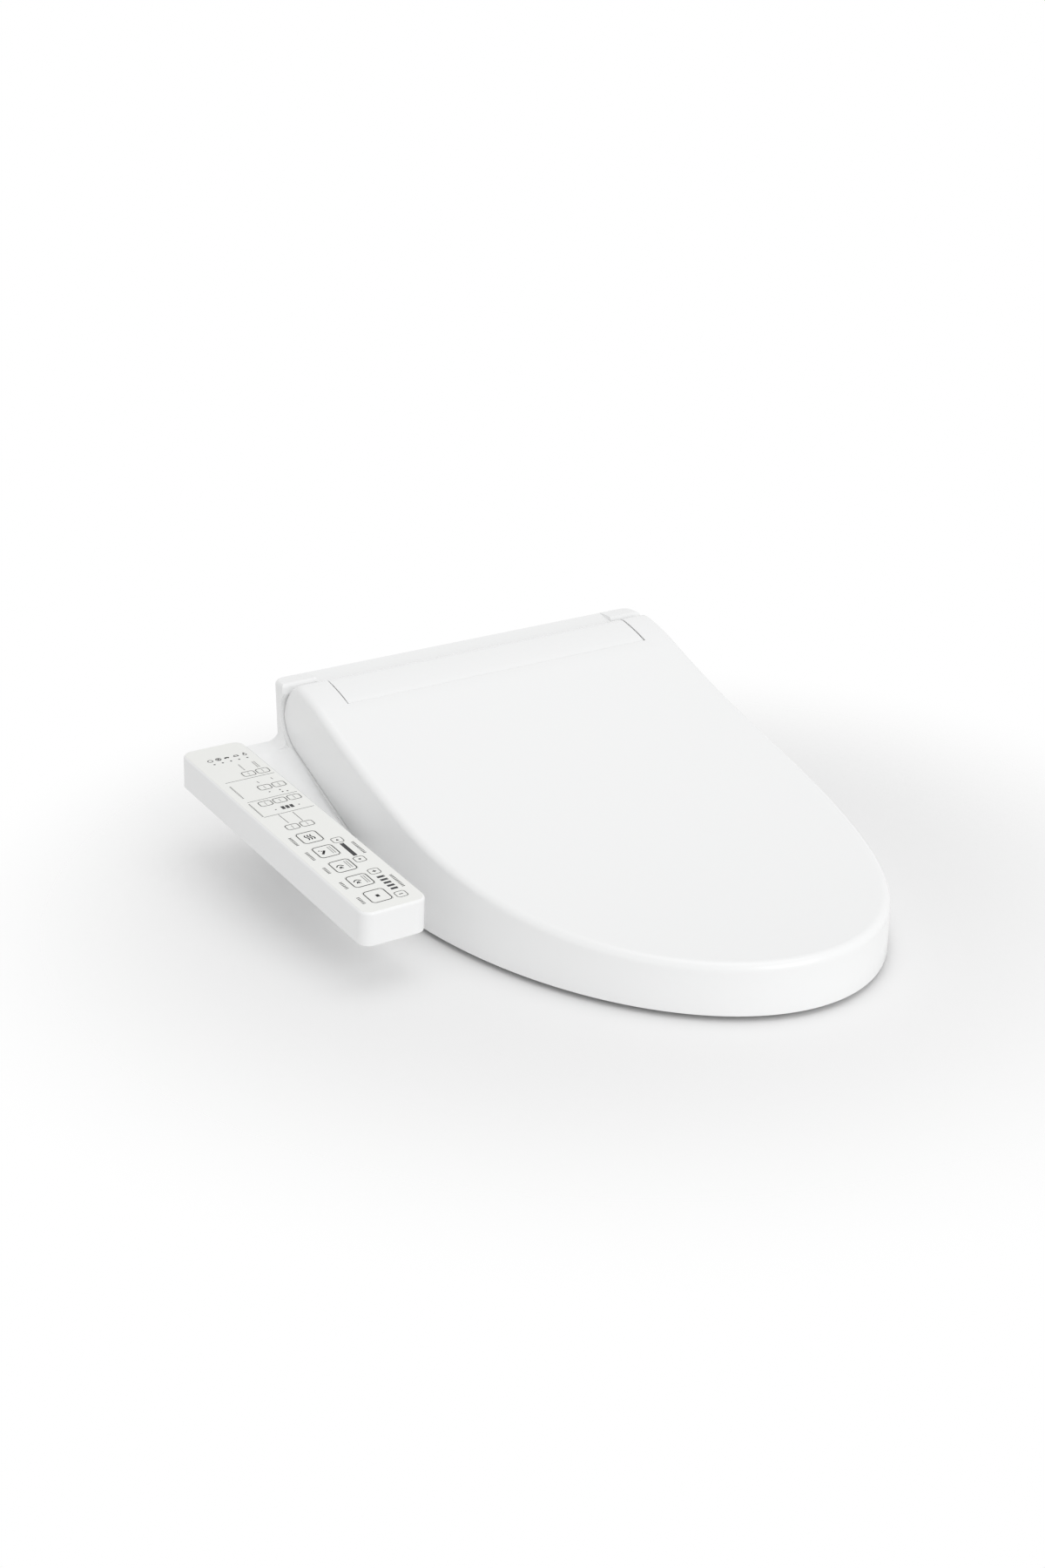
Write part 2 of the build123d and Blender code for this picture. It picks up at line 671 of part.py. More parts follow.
# Hinge cover between the lid's ears
with BuildPart() as hinge_cover:
    front_top = on_ear(180 - COVER_SEAM_ANGLE, COVER_R)
    front_low = on_ear(180 + COVER_FOOT_ANGLE, COVER_R)
    cover_rear = TROUGH_REAR_Y - COVER_FIT
    with BuildSketch(Plane.YZ) as cover_side:
        with BuildLine():
            Line((front_low[0], TROUGH_Z), front_low)
            ThreePointArc(front_low, on_ear(180, COVER_R), front_top)
            ThreePointArc(
                front_top,
                ((front_top[0] + RIDGE_Y) / 2, (front_top[1] + RIDGE_Z) / 2 + CREST_BULGE),
                (RIDGE_Y, RIDGE_Z - COVER_FIT),
            )
            ThreePointArc(
                (RIDGE_Y, RIDGE_Z - COVER_FIT),
                on_ear(COVER_BACK_ANGLE, COVER_BACK_R),
                (cover_rear, COVER_REAR_Z),
            )
            Polyline((cover_rear, COVER_REAR_Z), (cover_rear, TROUGH_Z), (front_low[0], TROUGH_Z))
        make_face()
    extrude(amount=COVER_HALF_W, both=True)
    crest = hinge_cover.edges().filter_by(Axis.X).sort_by(Axis.Z)[-1]
    fillet(crest, COVER_CREST_R)
    with BuildSketch(Plane.YZ):
        add(cover_side.sketch_local)
        offset(amount=-COVER_WALL, kind=Kind.INTERSECTION, mode=Mode.REPLACE)
        with Locations(((front_low[0] + cover_rear) / 2, TROUGH_Z)):
            Rectangle(cover_rear - front_low[0] - 2 * COVER_WALL, 4 * COVER_WALL)
    extrude(amount=COVER_HALF_W - COVER_WALL, both=True, mode=Mode.SUBTRACT)
    rod((-COVER_HALF_W - BEYOND, HINGE_Y, HINGE_Z), (1, 0, 0), SHAFT_R + COVER_FIT,
        2 * (COVER_HALF_W + BEYOND), mode=Mode.SUBTRACT)
keep(hinge_cover, "hinge_cover")

# Upper casing: deck, cheeks under the lid's ears, damper trough and the arm of the control panel
EAR_RECESS_R = EAR_R + EAR_SWING_GAP
cheek_front_y = under_line_y(SPLIT_Z, EAR_SWING_GAP)
recess_touch = on_ear(UNDER_ANGLE - 90, EAR_RECESS_R)


def cheek_face():
    """Side view of a cheek before the lid's ear is cut in: rear wall, deck, lip, slanted top."""
    with BuildLine() as outline:
        Polyline(
            (cheek_front_y, SPLIT_Z),
            (REAR_Y, SPLIT_Z),
            (REAR_Y, DECK_Z),
            (TROUGH_REAR_Y, DECK_Z),
            (TROUGH_REAR_Y, HINGE_Z),
            recess_touch,
            close=True,
        )
    make_face(outline.edges())


def middle_face():
    """Side view between the cheeks: deck, damper trough, slope under the seat, front wall."""
    with BuildLine() as outline:
        Polyline(
            (REAR_Y, SPLIT_Z),
            (REAR_Y, DECK_Z),
            (TROUGH_REAR_Y, DECK_DIP_Z),
            (TROUGH_REAR_Y, TROUGH_Z),
            (TROUGH_FRONT_Y, TROUGH_Z),
            (TROUGH_FRONT_Y, SLOPE_TOP_Z),
            (FRONT_Y, SLOPE_FOOT_Z),
            (FRONT_Y, SPLIT_Z),
            close=True,
        )
    make_face(outline.edges())


def trough_face(wall):
    """Side view of the damper trough and the dipped deck behind it, larger by a wall."""
    with BuildLine() as outline:
        Polyline(
            (TROUGH_FRONT_Y - wall, TROUGH_Z - wall),
            (TROUGH_REAR_Y + wall, TROUGH_Z - wall),
            (TROUGH_REAR_Y + wall, DECK_DIP_Z - wall),
            (REAR_Y, DECK_Z - wall),
            (REAR_Y, FAR_Z),
            (TROUGH_FRONT_Y - wall, FAR_Z),
            close=True,
        )
    make_face(outline.edges())


def arm_section(near, far, near_low, far_low):
    """Side view of a span of the panel's arm between two points of its top."""
    with BuildLine() as outline:
        Polyline(near, far, (far[0], far_low), (near[0], near_low), close=True)
    make_face(outline.edges())


def panel_top(y):
    """Height of the tilted control panel's top."""
    return PANEL_REF_Z + (y - PANEL_REF_Y) * tan(radians(PANEL_TILT))


ARM_REAR_Y = REAR_Y - CORNER_R
PANEL_RIGHT_X = PANEL_X + PANEL_W / 2
ARM_H = PANEL_H - PANEL_EDGE_R

with BuildPart() as upper_hollow:
    with BuildSketch(Plane.YZ):
        cheek_face()
        with Locations((HINGE_Y, HINGE_Z)):
            Circle(EAR_RECESS_R, mode=Mode.SUBTRACT)
        offset(amount=-CASE_WALL, kind=Kind.INTERSECTION, mode=Mode.REPLACE)
        with Locations(((cheek_front_y + REAR_Y) / 2 + CASE_WALL, SPLIT_Z)):
            Rectangle(REAR_Y - cheek_front_y - 4 * CASE_WALL, 4 * CASE_WALL)
    extrude(amount=CASE_HALF_W - CASE_WALL, both=True)
    with BuildSketch(Plane.YZ):
        middle_face()
        offset(amount=-CASE_WALL, kind=Kind.INTERSECTION, mode=Mode.REPLACE)
        with Locations(((FRONT_Y + REAR_Y) / 2, SPLIT_Z)):
            Rectangle(REAR_Y - FRONT_Y - 2 * CASE_WALL, 4 * CASE_WALL)
    extrude(amount=MID_HALF_W - CASE_WALL, both=True)
    corners = upper_hollow.edges().filter_by(Axis.Z).group_by(Axis.Y)[-1]
    fillet(corners, CORNER_R - CASE_WALL)
    with BuildSketch(Plane.YZ):
        trough_face(CASE_WALL)
    extrude(amount=COVER_HALF_W + EAR_GAP + CASE_WALL, both=True, mode=Mode.SUBTRACT)

with BuildPart() as upper_case:
    with BuildSketch(Plane.YZ):
        cheek_face()
    extrude(amount=CASE_HALF_W, both=True)
    with BuildSketch(Plane.YZ):
        middle_face()
    extrude(amount=MID_HALF_W, both=True)
    fillet(upper_case.edges().filter_by(Axis.Z).group_by(Axis.Y)[-1], CORNER_R)
    deck_rim = upper_case.faces().filter_by(Axis.Z).sort_by(Axis.Z)[-1].outer_wire().edges()
    fillet(deck_rim, DECK_EDGE_R)
    with BuildSketch(Plane.YZ):
        trough_face(0)
    extrude(amount=COVER_HALF_W + EAR_GAP, both=True, mode=Mode.SUBTRACT)
    for side in (-1, 1):
        rod((side * MID_HALF_W, HINGE_Y, HINGE_Z), (side, 0, 0), EAR_RECESS_R,
            CASE_HALF_W - MID_HALF_W + BEYOND, mode=Mode.SUBTRACT)
    add(upper_hollow.part, mode=Mode.SUBTRACT)
    arm_foot = (under_line_y(SPLIT_Z + CASE_WALL, EAR_SWING_GAP), SPLIT_Z + CASE_WALL - FIT_GAP)
    arm_bend = (ARM_BEND_Y, panel_top(ARM_BEND_Y) - ARM_STEP)
    arm_rear = (ARM_REAR_Y, panel_top(ARM_REAR_Y) - ARM_STEP)
    arm_front = (ARM_FRONT_Y, panel_top(ARM_FRONT_Y) - ARM_STEP)
    for near, at_panel, at_case in ((arm_rear, arm_bend, arm_bend), (arm_bend, arm_front, arm_foot)):
        with BuildPart(mode=Mode.PRIVATE) as arm_span:
            with BuildSketch(Plane.YZ.offset(PANEL_RIGHT_X)):
                arm_section(near, at_panel, near[1] - ARM_H, at_panel[1] - ARM_H)
            with BuildSketch(Plane.YZ.offset(-CASE_HALF_W + CASE_WALL / 2)):
                arm_section(near, at_case, SPLIT_Z, SPLIT_Z)
            loft(ruled=True)
        add(arm_span.part)
    with BuildPart(mode=Mode.PRIVATE) as arm_root:
        tilt = radians(PANEL_TILT)
        root_at = (-CASE_HALF_W, ARM_REAR_Y, panel_top(ARM_REAR_Y) - ARM_STEP)
        with BuildSketch(Plane(root_at, x_dir=(1, 0, 0), z_dir=(0, -cos(tilt), -sin(tilt)))):
            with BuildLine():
                Polyline(
                    (0, ARM_ROOT_R),
                    (CASE_WALL / 2, ARM_ROOT_R),
                    (CASE_WALL / 2, -CASE_WALL),
                    (-ARM_ROOT_R, -CASE_WALL),
                    (-ARM_ROOT_R, 0),
                )
                RadiusArc((-ARM_ROOT_R, 0), (0, ARM_ROOT_R), -ARM_ROOT_R)
            make_face()
        extrude(amount=(ARM_REAR_Y - ARM_BEND_Y) / cos(tilt))
        rod((-CASE_HALF_W, HINGE_Y, HINGE_Z), (1, 0, 0), EAR_RECESS_R, CASE_WALL, mode=Mode.SUBTRACT)
        with Locations((-CASE_HALF_W - ARM_ROOT_R / 2, HINGE_Y, HINGE_Z)):
            Cone(EAR_RECESS_R, EAR_RECESS_R - ARM_ROOT_R, ARM_ROOT_R, rotation=(0, -90, 0), mode=Mode.SUBTRACT)
    add(arm_root.part)
    for x, y in SCREW_AT:
        rod((x, y, SPLIT_Z), (0, 0, 1), BOSS_R, BOSS_H)
        rod((x, y, SPLIT_Z - 1), (0, 0, 1), SCREW_R + FIT_GAP, BOSS_H - CASE_WALL + 1, mode=Mode.SUBTRACT)
keep(upper_case, "upper_case")

# Lower casing: tray, side bays, horns beside the seat and the slide-way for the base plate
with BuildPart() as lower_case:
    with BuildSketch(Plane.XY.offset(CASE_BASE_Z)):
        with Locations((0, (FRONT_Y + REAR_Y) / 2)):
            Rectangle(2 * CASE_HALF_W, REAR_Y - FRONT_Y)
        horn_w = CASE_HALF_W - MID_HALF_W
        for side in (-1, 1):
            with Locations((side * (MID_HALF_W + horn_w / 2), (FRONT_Y + HORN_FRONT_Y) / 2)):
                Rectangle(horn_w, FRONT_Y - HORN_FRONT_Y)
    extrude(amount=SPLIT_Z - CASE_BASE_Z)
    fillet(lower_case.edges().filter_by(Axis.Z).group_by(Axis.Y)[-1], CORNER_R)
    over_z = SPLIT_Z + BEYOND
    over_y = HORN_FRONT_Y - BEYOND
    for side in (-1, 1):
        with BuildSketch(Plane.YZ.offset(side * MID_HALF_W)):
            with BuildLine():
                Polyline(
                    (under_line_y(over_z, EAR_SWING_GAP), over_z),
                    (over_y, over_z),
                    (over_y, under_line(over_y, EAR_SWING_GAP)),
                    close=True,
                )
            make_face()
        extrude(amount=side * (horn_w + BEYOND), mode=Mode.SUBTRACT)
    pocket_w = 2 * (CASE_HALF_W - CASE_WALL)
    pocket_l = REAR_Y - FRONT_Y - 2 * CASE_WALL
    with BuildSketch(Plane.XY.offset(CASE_FLOOR_Z)):
        with Locations((0, (FRONT_Y + REAR_Y) / 2)):
            RectangleRounded(pocket_w, pocket_l, CORNER_R - CASE_WALL)
    extrude(amount=SPLIT_Z, mode=Mode.SUBTRACT)
    with BuildSketch(Plane.XY.offset(BAY_FLOOR_Z)):
        with Locations((0, (FRONT_Y + REAR_Y) / 2)):
            RectangleRounded(pocket_w, pocket_l, CORNER_R - CASE_WALL)
            Rectangle(2 * BAY_X, pocket_l, mode=Mode.SUBTRACT)
    extrude(amount=SPLIT_Z, mode=Mode.SUBTRACT)
    with BuildSketch(Plane.XZ.offset(-REAR_Y)):
        for half_w, low, high in (
            (PLATE_HALF_W + RAIL_GAP, 0.0, RAIL_LOW_Z - RAIL_GAP),
            (RAIL_HALF_W + RAIL_GAP, RAIL_LOW_Z - RAIL_GAP, RAIL_HIGH_Z + RAIL_GAP),
            (PLATE_HALF_W - 2 * BOSS_R, RAIL_HIGH_Z, CASE_FLOOR_Z - CASE_WALL),
        ):
            with Locations((0, (low + high) / 2)):
                Rectangle(2 * half_w, high - low)
    extrude(amount=REAR_Y - PLATE_FRONT_Y + BEYOND, mode=Mode.SUBTRACT)
    span_box(
        (-WAND_SLOT_W / 2, FRONT_Y - BEYOND, WAND_SLOT_Z[0]),
        (WAND_SLOT_W / 2, FRONT_Y + CASE_WALL + 1, WAND_SLOT_Z[1]),
        mode=Mode.SUBTRACT,
    )
    span_box(
        (DUCT_X - DUCT_W / 2 - FIT_GAP, FRONT_Y - BEYOND, CASE_FLOOR_Z),
        (DUCT_X + DUCT_W / 2 + FIT_GAP, FRONT_Y + CASE_WALL + 1, CASE_FLOOR_Z + DUCT_H + FIT_GAP),
        mode=Mode.SUBTRACT,
    )
    left_wall = -CASE_HALF_W - BEYOND
    rod((left_wall, INLET_Y, INLET_Z), (1, 0, 0), INLET_NECK_R + FIT_GAP, 2 * BEYOND, mode=Mode.SUBTRACT)
    rod((left_wall, FILTER_Y, INLET_Z), (1, 0, 0), FILTER_R + FIT_GAP, 2 * BEYOND, mode=Mode.SUBTRACT)
    rod((GLAND_X, REAR_Y + BEYOND, GLAND_Z), (0, -1, 0), GLAND_R + FIT_GAP, 2 * BEYOND, mode=Mode.SUBTRACT)
    with BuildSketch(Plane.YZ.offset(CASE_HALF_W - 2 * CASE_WALL)):
        with Locations((BUTTON_Y, BUTTON_Z)):
            RectangleRounded(BUTTON_L + 2 * BUTTON_GAP, BUTTON_H + 2 * BUTTON_GAP, BUTTON_H / 2)
    extrude(amount=3 * CASE_WALL, mode=Mode.SUBTRACT)
    span_box(
        (CASE_HALF_W - 4 * CASE_WALL, FILTER_BOX_Y[0] - FIT_GAP, FILTER_BOX_Z[0] - FIT_GAP),
        (CASE_HALF_W + CASE_WALL, FILTER_BOX_Y[1] + FIT_GAP, FILTER_BOX_Z[1] + FIT_GAP),
        mode=Mode.SUBTRACT,
    )
    span_box(
        (STEM_RIB_X, BUTTON_Y - BOSS_R, BAY_FLOOR_Z - 1),
        (STEM_RIB_X + CASE_WALL, BUTTON_Y + BOSS_R, BUTTON_Z + BOSS_R),
    )
    rod((STEM_RIB_X - 1, BUTTON_Y, BUTTON_Z), (1, 0, 0), BUTTON_STEM_R + SHAFT_FIT, CASE_WALL + 2,
        mode=Mode.SUBTRACT)
    for x, y in SCREW_AT:
        rod((x, y, BAY_FLOOR_Z - 1), (0, 0, 1), BOSS_R, SPLIT_Z - BAY_FLOOR_Z + 1)
        rod((x, y, CASE_BASE_Z - 1), (0, 0, 1), SCREW_HEAD_R + FIT_GAP, SCREW_HEAD_Z - CASE_BASE_Z + 1,
            mode=Mode.SUBTRACT)
        rod((x, y, CASE_BASE_Z), (0, 0, 1), SCREW_R + FIT_GAP, SPLIT_Z, mode=Mode.SUBTRACT)
    for x in BOARD_POST_X:
        for y in BOARD_POST_Y:
            rod((x, y, BAY_FLOOR_Z - 1), (0, 0, 1), POST_R, MAIN_BOARD_Z - BAY_FLOOR_Z + 1)
keep(lower_case, "lower_case")

with BuildPart() as case_screws:
    for x, y in SCREW_AT:
        rod((x, y, SCREW_HEAD_Z - SCREW_HEAD_H), (0, 0, 1), SCREW_HEAD_R, SCREW_HEAD_H)
        rod((x, y, SCREW_HEAD_Z), (0, 0, 1), SCREW_R, SPLIT_Z + BOSS_H - 2 * CASE_WALL - SCREW_HEAD_Z)
keep(case_screws, "case_screws")

# Base plate that stays bolted to the pan, and the two inserts that take the bolts
with BuildPart() as base_plate:
    with BuildSketch(Plane.XY):
        with Locations((0, (PLATE_FRONT_Y + PLATE_REAR_Y) / 2)):
            RectangleRounded(2 * PLATE_HALF_W, PLATE_REAR_Y - PLATE_FRONT_Y, PLATE_CORNER_R)
    extrude(amount=PLATE_T)
    for side in (-1, 1):
        with BuildSketch(Plane.XZ.offset(-PLATE_REAR_Y + PLATE_CORNER_R)):
            rail_x = PLATE_HALF_W - 2 * PLATE_T
            with BuildLine():
                Polyline(
                    (side * rail_x, PLATE_T),
                    (side * PLATE_HALF_W, PLATE_T),
                    (side * PLATE_HALF_W, RAIL_LOW_Z),
                    (side * RAIL_HALF_W, RAIL_LOW_Z),
                    (side * RAIL_HALF_W, RAIL_HIGH_Z),
                    (side * rail_x, RAIL_HIGH_Z),
                    close=True,
                )
            make_face()
        extrude(amount=PLATE_REAR_Y - PLATE_FRONT_Y - 2 * PLATE_CORNER_R)
    with BuildSketch(Plane.XY):
        with GridLocations(BOLT_SPACING, 0, 2, 1):
            SlotOverall(SLOT_L, SLOT_W, rotation=90)
    extrude(amount=PLATE_T, mode=Mode.SUBTRACT)
    with BuildSketch(Plane.XY.offset(PLATE_T / 2)):
        Rectangle(BOLT_SPACING - 3 * SLOT_W, PLATE_REAR_Y - PLATE_FRONT_Y - 2 * PLATE_CORNER_R)
    extrude(amount=PLATE_T, mode=Mode.SUBTRACT)
keep(base_plate, "base_plate")

with BuildPart() as bolt_inserts:
    with BuildSketch(Plane.XY):
        with GridLocations(BOLT_SPACING, 0, 2, 1):
            SlotOverall(SLOT_L - 2 * FIT_GAP, SLOT_W - 2 * FIT_GAP, rotation=90)
    extrude(amount=PLATE_T)
    with BuildSketch(Plane.XY.offset(PLATE_T)):
        with GridLocations(BOLT_SPACING, 0, 2, 1):
            SlotOverall(SLOT_L + INSERT_LIP, SLOT_W + INSERT_LIP, rotation=90)
    extrude(amount=INSERT_LIP / 2)
    with BuildSketch(Plane.XY):
        with GridLocations(BOLT_SPACING, 0, 2, 1):
            Circle(BOLT_HOLE_R)
    extrude(amount=2 * PLATE_T, mode=Mode.SUBTRACT)
keep(bolt_inserts, "bolt_inserts")

# Release button on the right cheek, with its guide stem
with BuildPart() as release_button:
    with BuildSketch(Plane.YZ.offset(CASE_HALF_W - BUTTON_T + BUTTON_PROUD)):
        with Locations((BUTTON_Y, BUTTON_Z)):
            RectangleRounded(BUTTON_L, BUTTON_H, BUTTON_H / 2 - BUTTON_GAP)
    extrude(amount=BUTTON_T)
    fillet(release_button.faces().sort_by(Axis.X)[-1].edges(), EDGE_BREAK)
    rod((STEM_RIB_X - 2 * CASE_WALL, BUTTON_Y, BUTTON_Z), (1, 0, 0), BUTTON_STEM_R,
        CASE_HALF_W - BUTTON_T / 2 - STEM_RIB_X + 2 * CASE_WALL)
keep(release_button, "release_button")

# Water path: inlet, filter plug, valve, pump, heater and hoses
with BuildPart() as water_inlet:
    inner_x = -CASE_HALF_W + CASE_WALL
    start = (inner_x + INLET_FLANGE, INLET_Y, INLET_Z)
    rod(start, (-1, 0, 0), INLET_R + 2, INLET_FLANGE - FIT_GAP)
    rod(start, (-1, 0, 0), INLET_NECK_R, INLET_FLANGE + CASE_WALL + FIT_GAP)
    with BuildSketch(Plane.YZ.offset(-CASE_HALF_W - FIT_GAP)):
        with Locations((INLET_Y, INLET_Z)):
            RegularPolygon(INLET_R + 3, 6)
    extrude(amount=-INLET_NUT)
    rod((-CASE_HALF_W - INLET_NUT, INLET_Y, INLET_Z), (-1, 0, 0), INLET_R, INLET_L)
    rod((-CASE_HALF_W - INLET_NUT - INLET_L, INLET_Y, INLET_Z), (1, 0, 0), INLET_BORE_R,
        CASE_HALF_W, mode=Mode.SUBTRACT)
keep(water_inlet, "water_inlet")

with BuildPart() as filter_plug:
    rod((inner_x + 2 * CASE_WALL, FILTER_Y, INLET_Z), (-1, 0, 0), FILTER_R, 3 * CASE_WALL + FIT_GAP)
    rod((-CASE_HALF_W - FIT_GAP, FILTER_Y, INLET_Z), (-1, 0, 0), FILTER_R + 2, FILTER_CAP_T)
    span_box(
        (-CASE_HALF_W - FILTER_CAP_T - 1, FILTER_Y - FILTER_R, INLET_Z - 1),
        (-CASE_HALF_W - FILTER_CAP_T / 2, FILTER_Y + FILTER_R, INLET_Z + 1),
        mode=Mode.SUBTRACT,
    )
keep(filter_plug, "filter_plug")

with BuildPart() as solenoid_valve:
    valve_left = inner_x + INLET_FLANGE
    span_box((valve_left, INLET_Y - VALVE_W / 2, BAY_FLOOR_Z),
             (valve_left + VALVE_L, INLET_Y + VALVE_W / 2, VALVE_TOP_Z))
    rod((valve_left + VALVE_L / 2, INLET_Y, VALVE_TOP_Z), (0, 0, 1), COIL_R, COIL_H)
    rod((valve_left + VALVE_L / 2, INLET_Y, VALVE_TOP_Z + COIL_H), (0, 0, 1), COIL_R / 3, CASE_WALL)
    fillet(solenoid_valve.edges().filter_by(Axis.Z).group_by(SortBy.LENGTH)[-1], EDGE_BREAK)
keep(solenoid_valve, "solenoid_valve")

valve_right = valve_left + VALVE_L
PUMP_X = (valve_right + HOSE_RUN, valve_right + HOSE_RUN + PUMP_L)
HEATER_X = (PUMP_X[0], PUMP_X[0] + HEATER_L)
with BuildPart() as flow_pump:
    rod((PUMP_X[0], PUMP_Y, PUMP_Z), (1, 0, 0), PUMP_R, PUMP_X[1] - PUMP_X[0])
    span_box((PUMP_X[0] + PUMP_R, PUMP_Y - PUMP_R, CASE_FLOOR_Z),
             (PUMP_X[1] - PUMP_R, PUMP_Y + PUMP_R, PUMP_Z - PUMP_R / 2))
    chamfer(flow_pump.faces().sort_by(Axis.X)[0].edges(), EDGE_BREAK)
    chamfer(flow_pump.faces().sort_by(Axis.X)[-1].edges(), EDGE_BREAK)
keep(flow_pump, "flow_pump")

with BuildPart() as heat_exchanger:
    span_box((HEATER_X[0], HEATER_Y[0], CASE_FLOOR_Z), (HEATER_X[1], HEATER_Y[1], HEATER_TOP_Z))
    heater_l = HEATER_X[1] - HEATER_X[0]
    with BuildSketch(Plane.XY.offset(HEATER_TOP_Z)):
        with Locations(((HEATER_X[0] + HEATER_X[1]) / 2, (HEATER_Y[0] + HEATER_Y[1]) / 2)):
            with GridLocations(heater_l / HEATER_FINS, 0, HEATER_FINS, 1):
                Rectangle(heater_l / HEATER_FINS / 2, HEATER_Y[1] - HEATER_Y[0] - 4 * CASE_WALL)
    extrude(amount=-2 * CASE_WALL, mode=Mode.SUBTRACT)
keep(heat_exchanger, "heat_exchanger")


def hose(corners):
    """A water hose along straight runs joined by arcs."""
    with BuildPart() as tube:
        with BuildLine():
            FilletPolyline(*corners, radius=HOSE_BEND_R)
        with BuildSketch(Plane(origin=corners[0], z_dir=Vector(*corners[1]) - Vector(*corners[0]))):
            Circle(HOSE_R)
        sweep()
    return tube.part


hose_mid_x = (valve_right + PUMP_X[0]) / 2
with BuildPart() as water_hoses:
    add(hose([
        (valve_right, INLET_Y, PUMP_Z),
        (hose_mid_x, INLET_Y, PUMP_Z),
        (hose_mid_x, PUMP_Y, PUMP_Z),
        (PUMP_X[0], PUMP_Y, PUMP_Z),
    ]))
    add(hose([
        (PUMP_X[1], PUMP_Y, PUMP_Z),
        (PUMP_X[1] + 2 * HOSE_BEND_R, PUMP_Y, PUMP_Z),
        (PUMP_X[1] + 2 * HOSE_BEND_R, HEATER_Y[0], PUMP_Z),
    ]))
keep(water_hoses, "water_hoses")

# Wash wand: cradle, toothed wand, tip, drive pinion and motor
wand_cos = cos(radians(WAND_TILT))
wand_sin = sin(radians(WAND_TILT))
WAND = Plane(origin=(0, FRONT_Y, WAND_EXIT_Z), x_dir=(-1, 0, 0), z_dir=(0, wand_cos, wand_sin))
RACK = Plane(origin=(-PINION_W / 2, FRONT_Y, WAND_EXIT_Z), x_dir=(0, wand_cos, wand_sin), z_dir=(1, 0, 0))
PITCH = pi * GEAR_MODULE
PINION_R = GEAR_MODULE * PINION_TEETH / 2
TOOTH_SIDE = degrees(atan(TOOTH_H / ((TOOTH_ROOT - TOOTH_TIP) / 2)))
PINION_H = RACK_PITCH_H + PINION_R
trough_r = WAND_R + GUIDE_GAP + FAN_WALL

with BuildPart() as nozzle_cradle:
    with BuildSketch(WAND.offset(CRADLE_S[0])):
        Circle(trough_r)
        Circle(WAND_R + GUIDE_GAP, mode=Mode.SUBTRACT)
        with Locations((0, trough_r + 1)):
            Rectangle(4 * trough_r, 2 * trough_r, mode=Mode.SUBTRACT)
    extrude(amount=CRADLE_S[1] - CRADLE_S[0])
    for along in CRADLE_RIB_S:
        with BuildSketch(WAND.offset(along)):
            with Locations((0, -(WAND_R + GUIDE_GAP + 1) - FAR_Z / 4)):
                Rectangle(2 * WAND_R, FAR_Z / 2)
        extrude(amount=CRADLE_RIB_T)
    with BuildSketch(WAND.offset(PINION_AT - MOTOR_R - 1)):
        with Locations((-trough_r + FAN_WALL / 2, (PINION_H + MOTOR_R) / 2)):
            Rectangle(FAN_WALL, PINION_H + MOTOR_R)
    extrude(amount=2 * MOTOR_R + 2)
    with BuildSketch(RACK.offset(-BEYOND)):
        with Locations((PINION_AT, PINION_H)):
            Circle(MOTOR_SHAFT_R + 1)
    extrude(amount=4 * trough_r, mode=Mode.SUBTRACT)
    span_box((-FAR_Z, -FAR_Z, LOW_Z * 4), (FAR_Z, FAR_Z, CASE_FLOOR_Z), mode=Mode.SUBTRACT)
keep(nozzle_cradle, "nozzle_cradle")

with BuildPart() as nozzle_motor:
    with BuildSketch(RACK.offset(PINION_W / 2 + trough_r)):
        with Locations((PINION_AT, PINION_H)):
            Circle(MOTOR_R)
    extrude(amount=MOTOR_L)
    with BuildSketch(RACK.offset(-1)):
        with Locations((PINION_AT, PINION_H)):
            Circle(MOTOR_SHAFT_R)
    extrude(amount=PINION_W / 2 + trough_r + 2)
keep(nozzle_motor, "nozzle_motor")

with BuildPart() as drive_pinion:
    with BuildSketch(RACK):
        with Locations((PINION_AT, PINION_H)):
            Circle(PINION_R - TOOTH_H + TOOTH_HEAD)
            with PolarLocations(PINION_R - TOOTH_H + TOOTH_HEAD - FIT_GAP, PINION_TEETH, start_angle=-90):
                Trapezoid(TOOTH_ROOT, TOOTH_H + FIT_GAP, TOOTH_SIDE, rotation=-90,
                          align=(Align.CENTER, Align.MIN))
            Circle(MOTOR_SHAFT_R + SHAFT_FIT, mode=Mode.SUBTRACT)
    extrude(amount=PINION_W)
keep(drive_pinion, "drive_pinion")

with BuildPart() as nozzle_wand:
    with BuildSketch(WAND.offset(TIP_LENGTH)):
        Circle(WAND_R)
        with Locations((0, (RACK_PITCH_H - TOOTH_H + TOOTH_HEAD) / 2)):
            Rectangle(PINION_W, RACK_PITCH_H - TOOTH_H + TOOTH_HEAD)
        Circle(WAND_BORE_R, mode=Mode.SUBTRACT)
    extrude(amount=WAND_LENGTH - TIP_LENGTH)
    teeth = int((WAND_LENGTH - PINION_AT) / PITCH) + 1
    with BuildSketch(RACK):
        with Locations(*[
            (PINION_AT + (n - 1.5) * PITCH, RACK_PITCH_H - TOOTH_H + TOOTH_HEAD - FIT_GAP)
            for n in range(teeth)
        ]):
            Trapezoid(TOOTH_ROOT, TOOTH_H + FIT_GAP, TOOTH_SIDE, align=(Align.CENTER, Align.MIN))
    extrude(amount=PINION_W)
keep(nozzle_wand, "nozzle_wand")

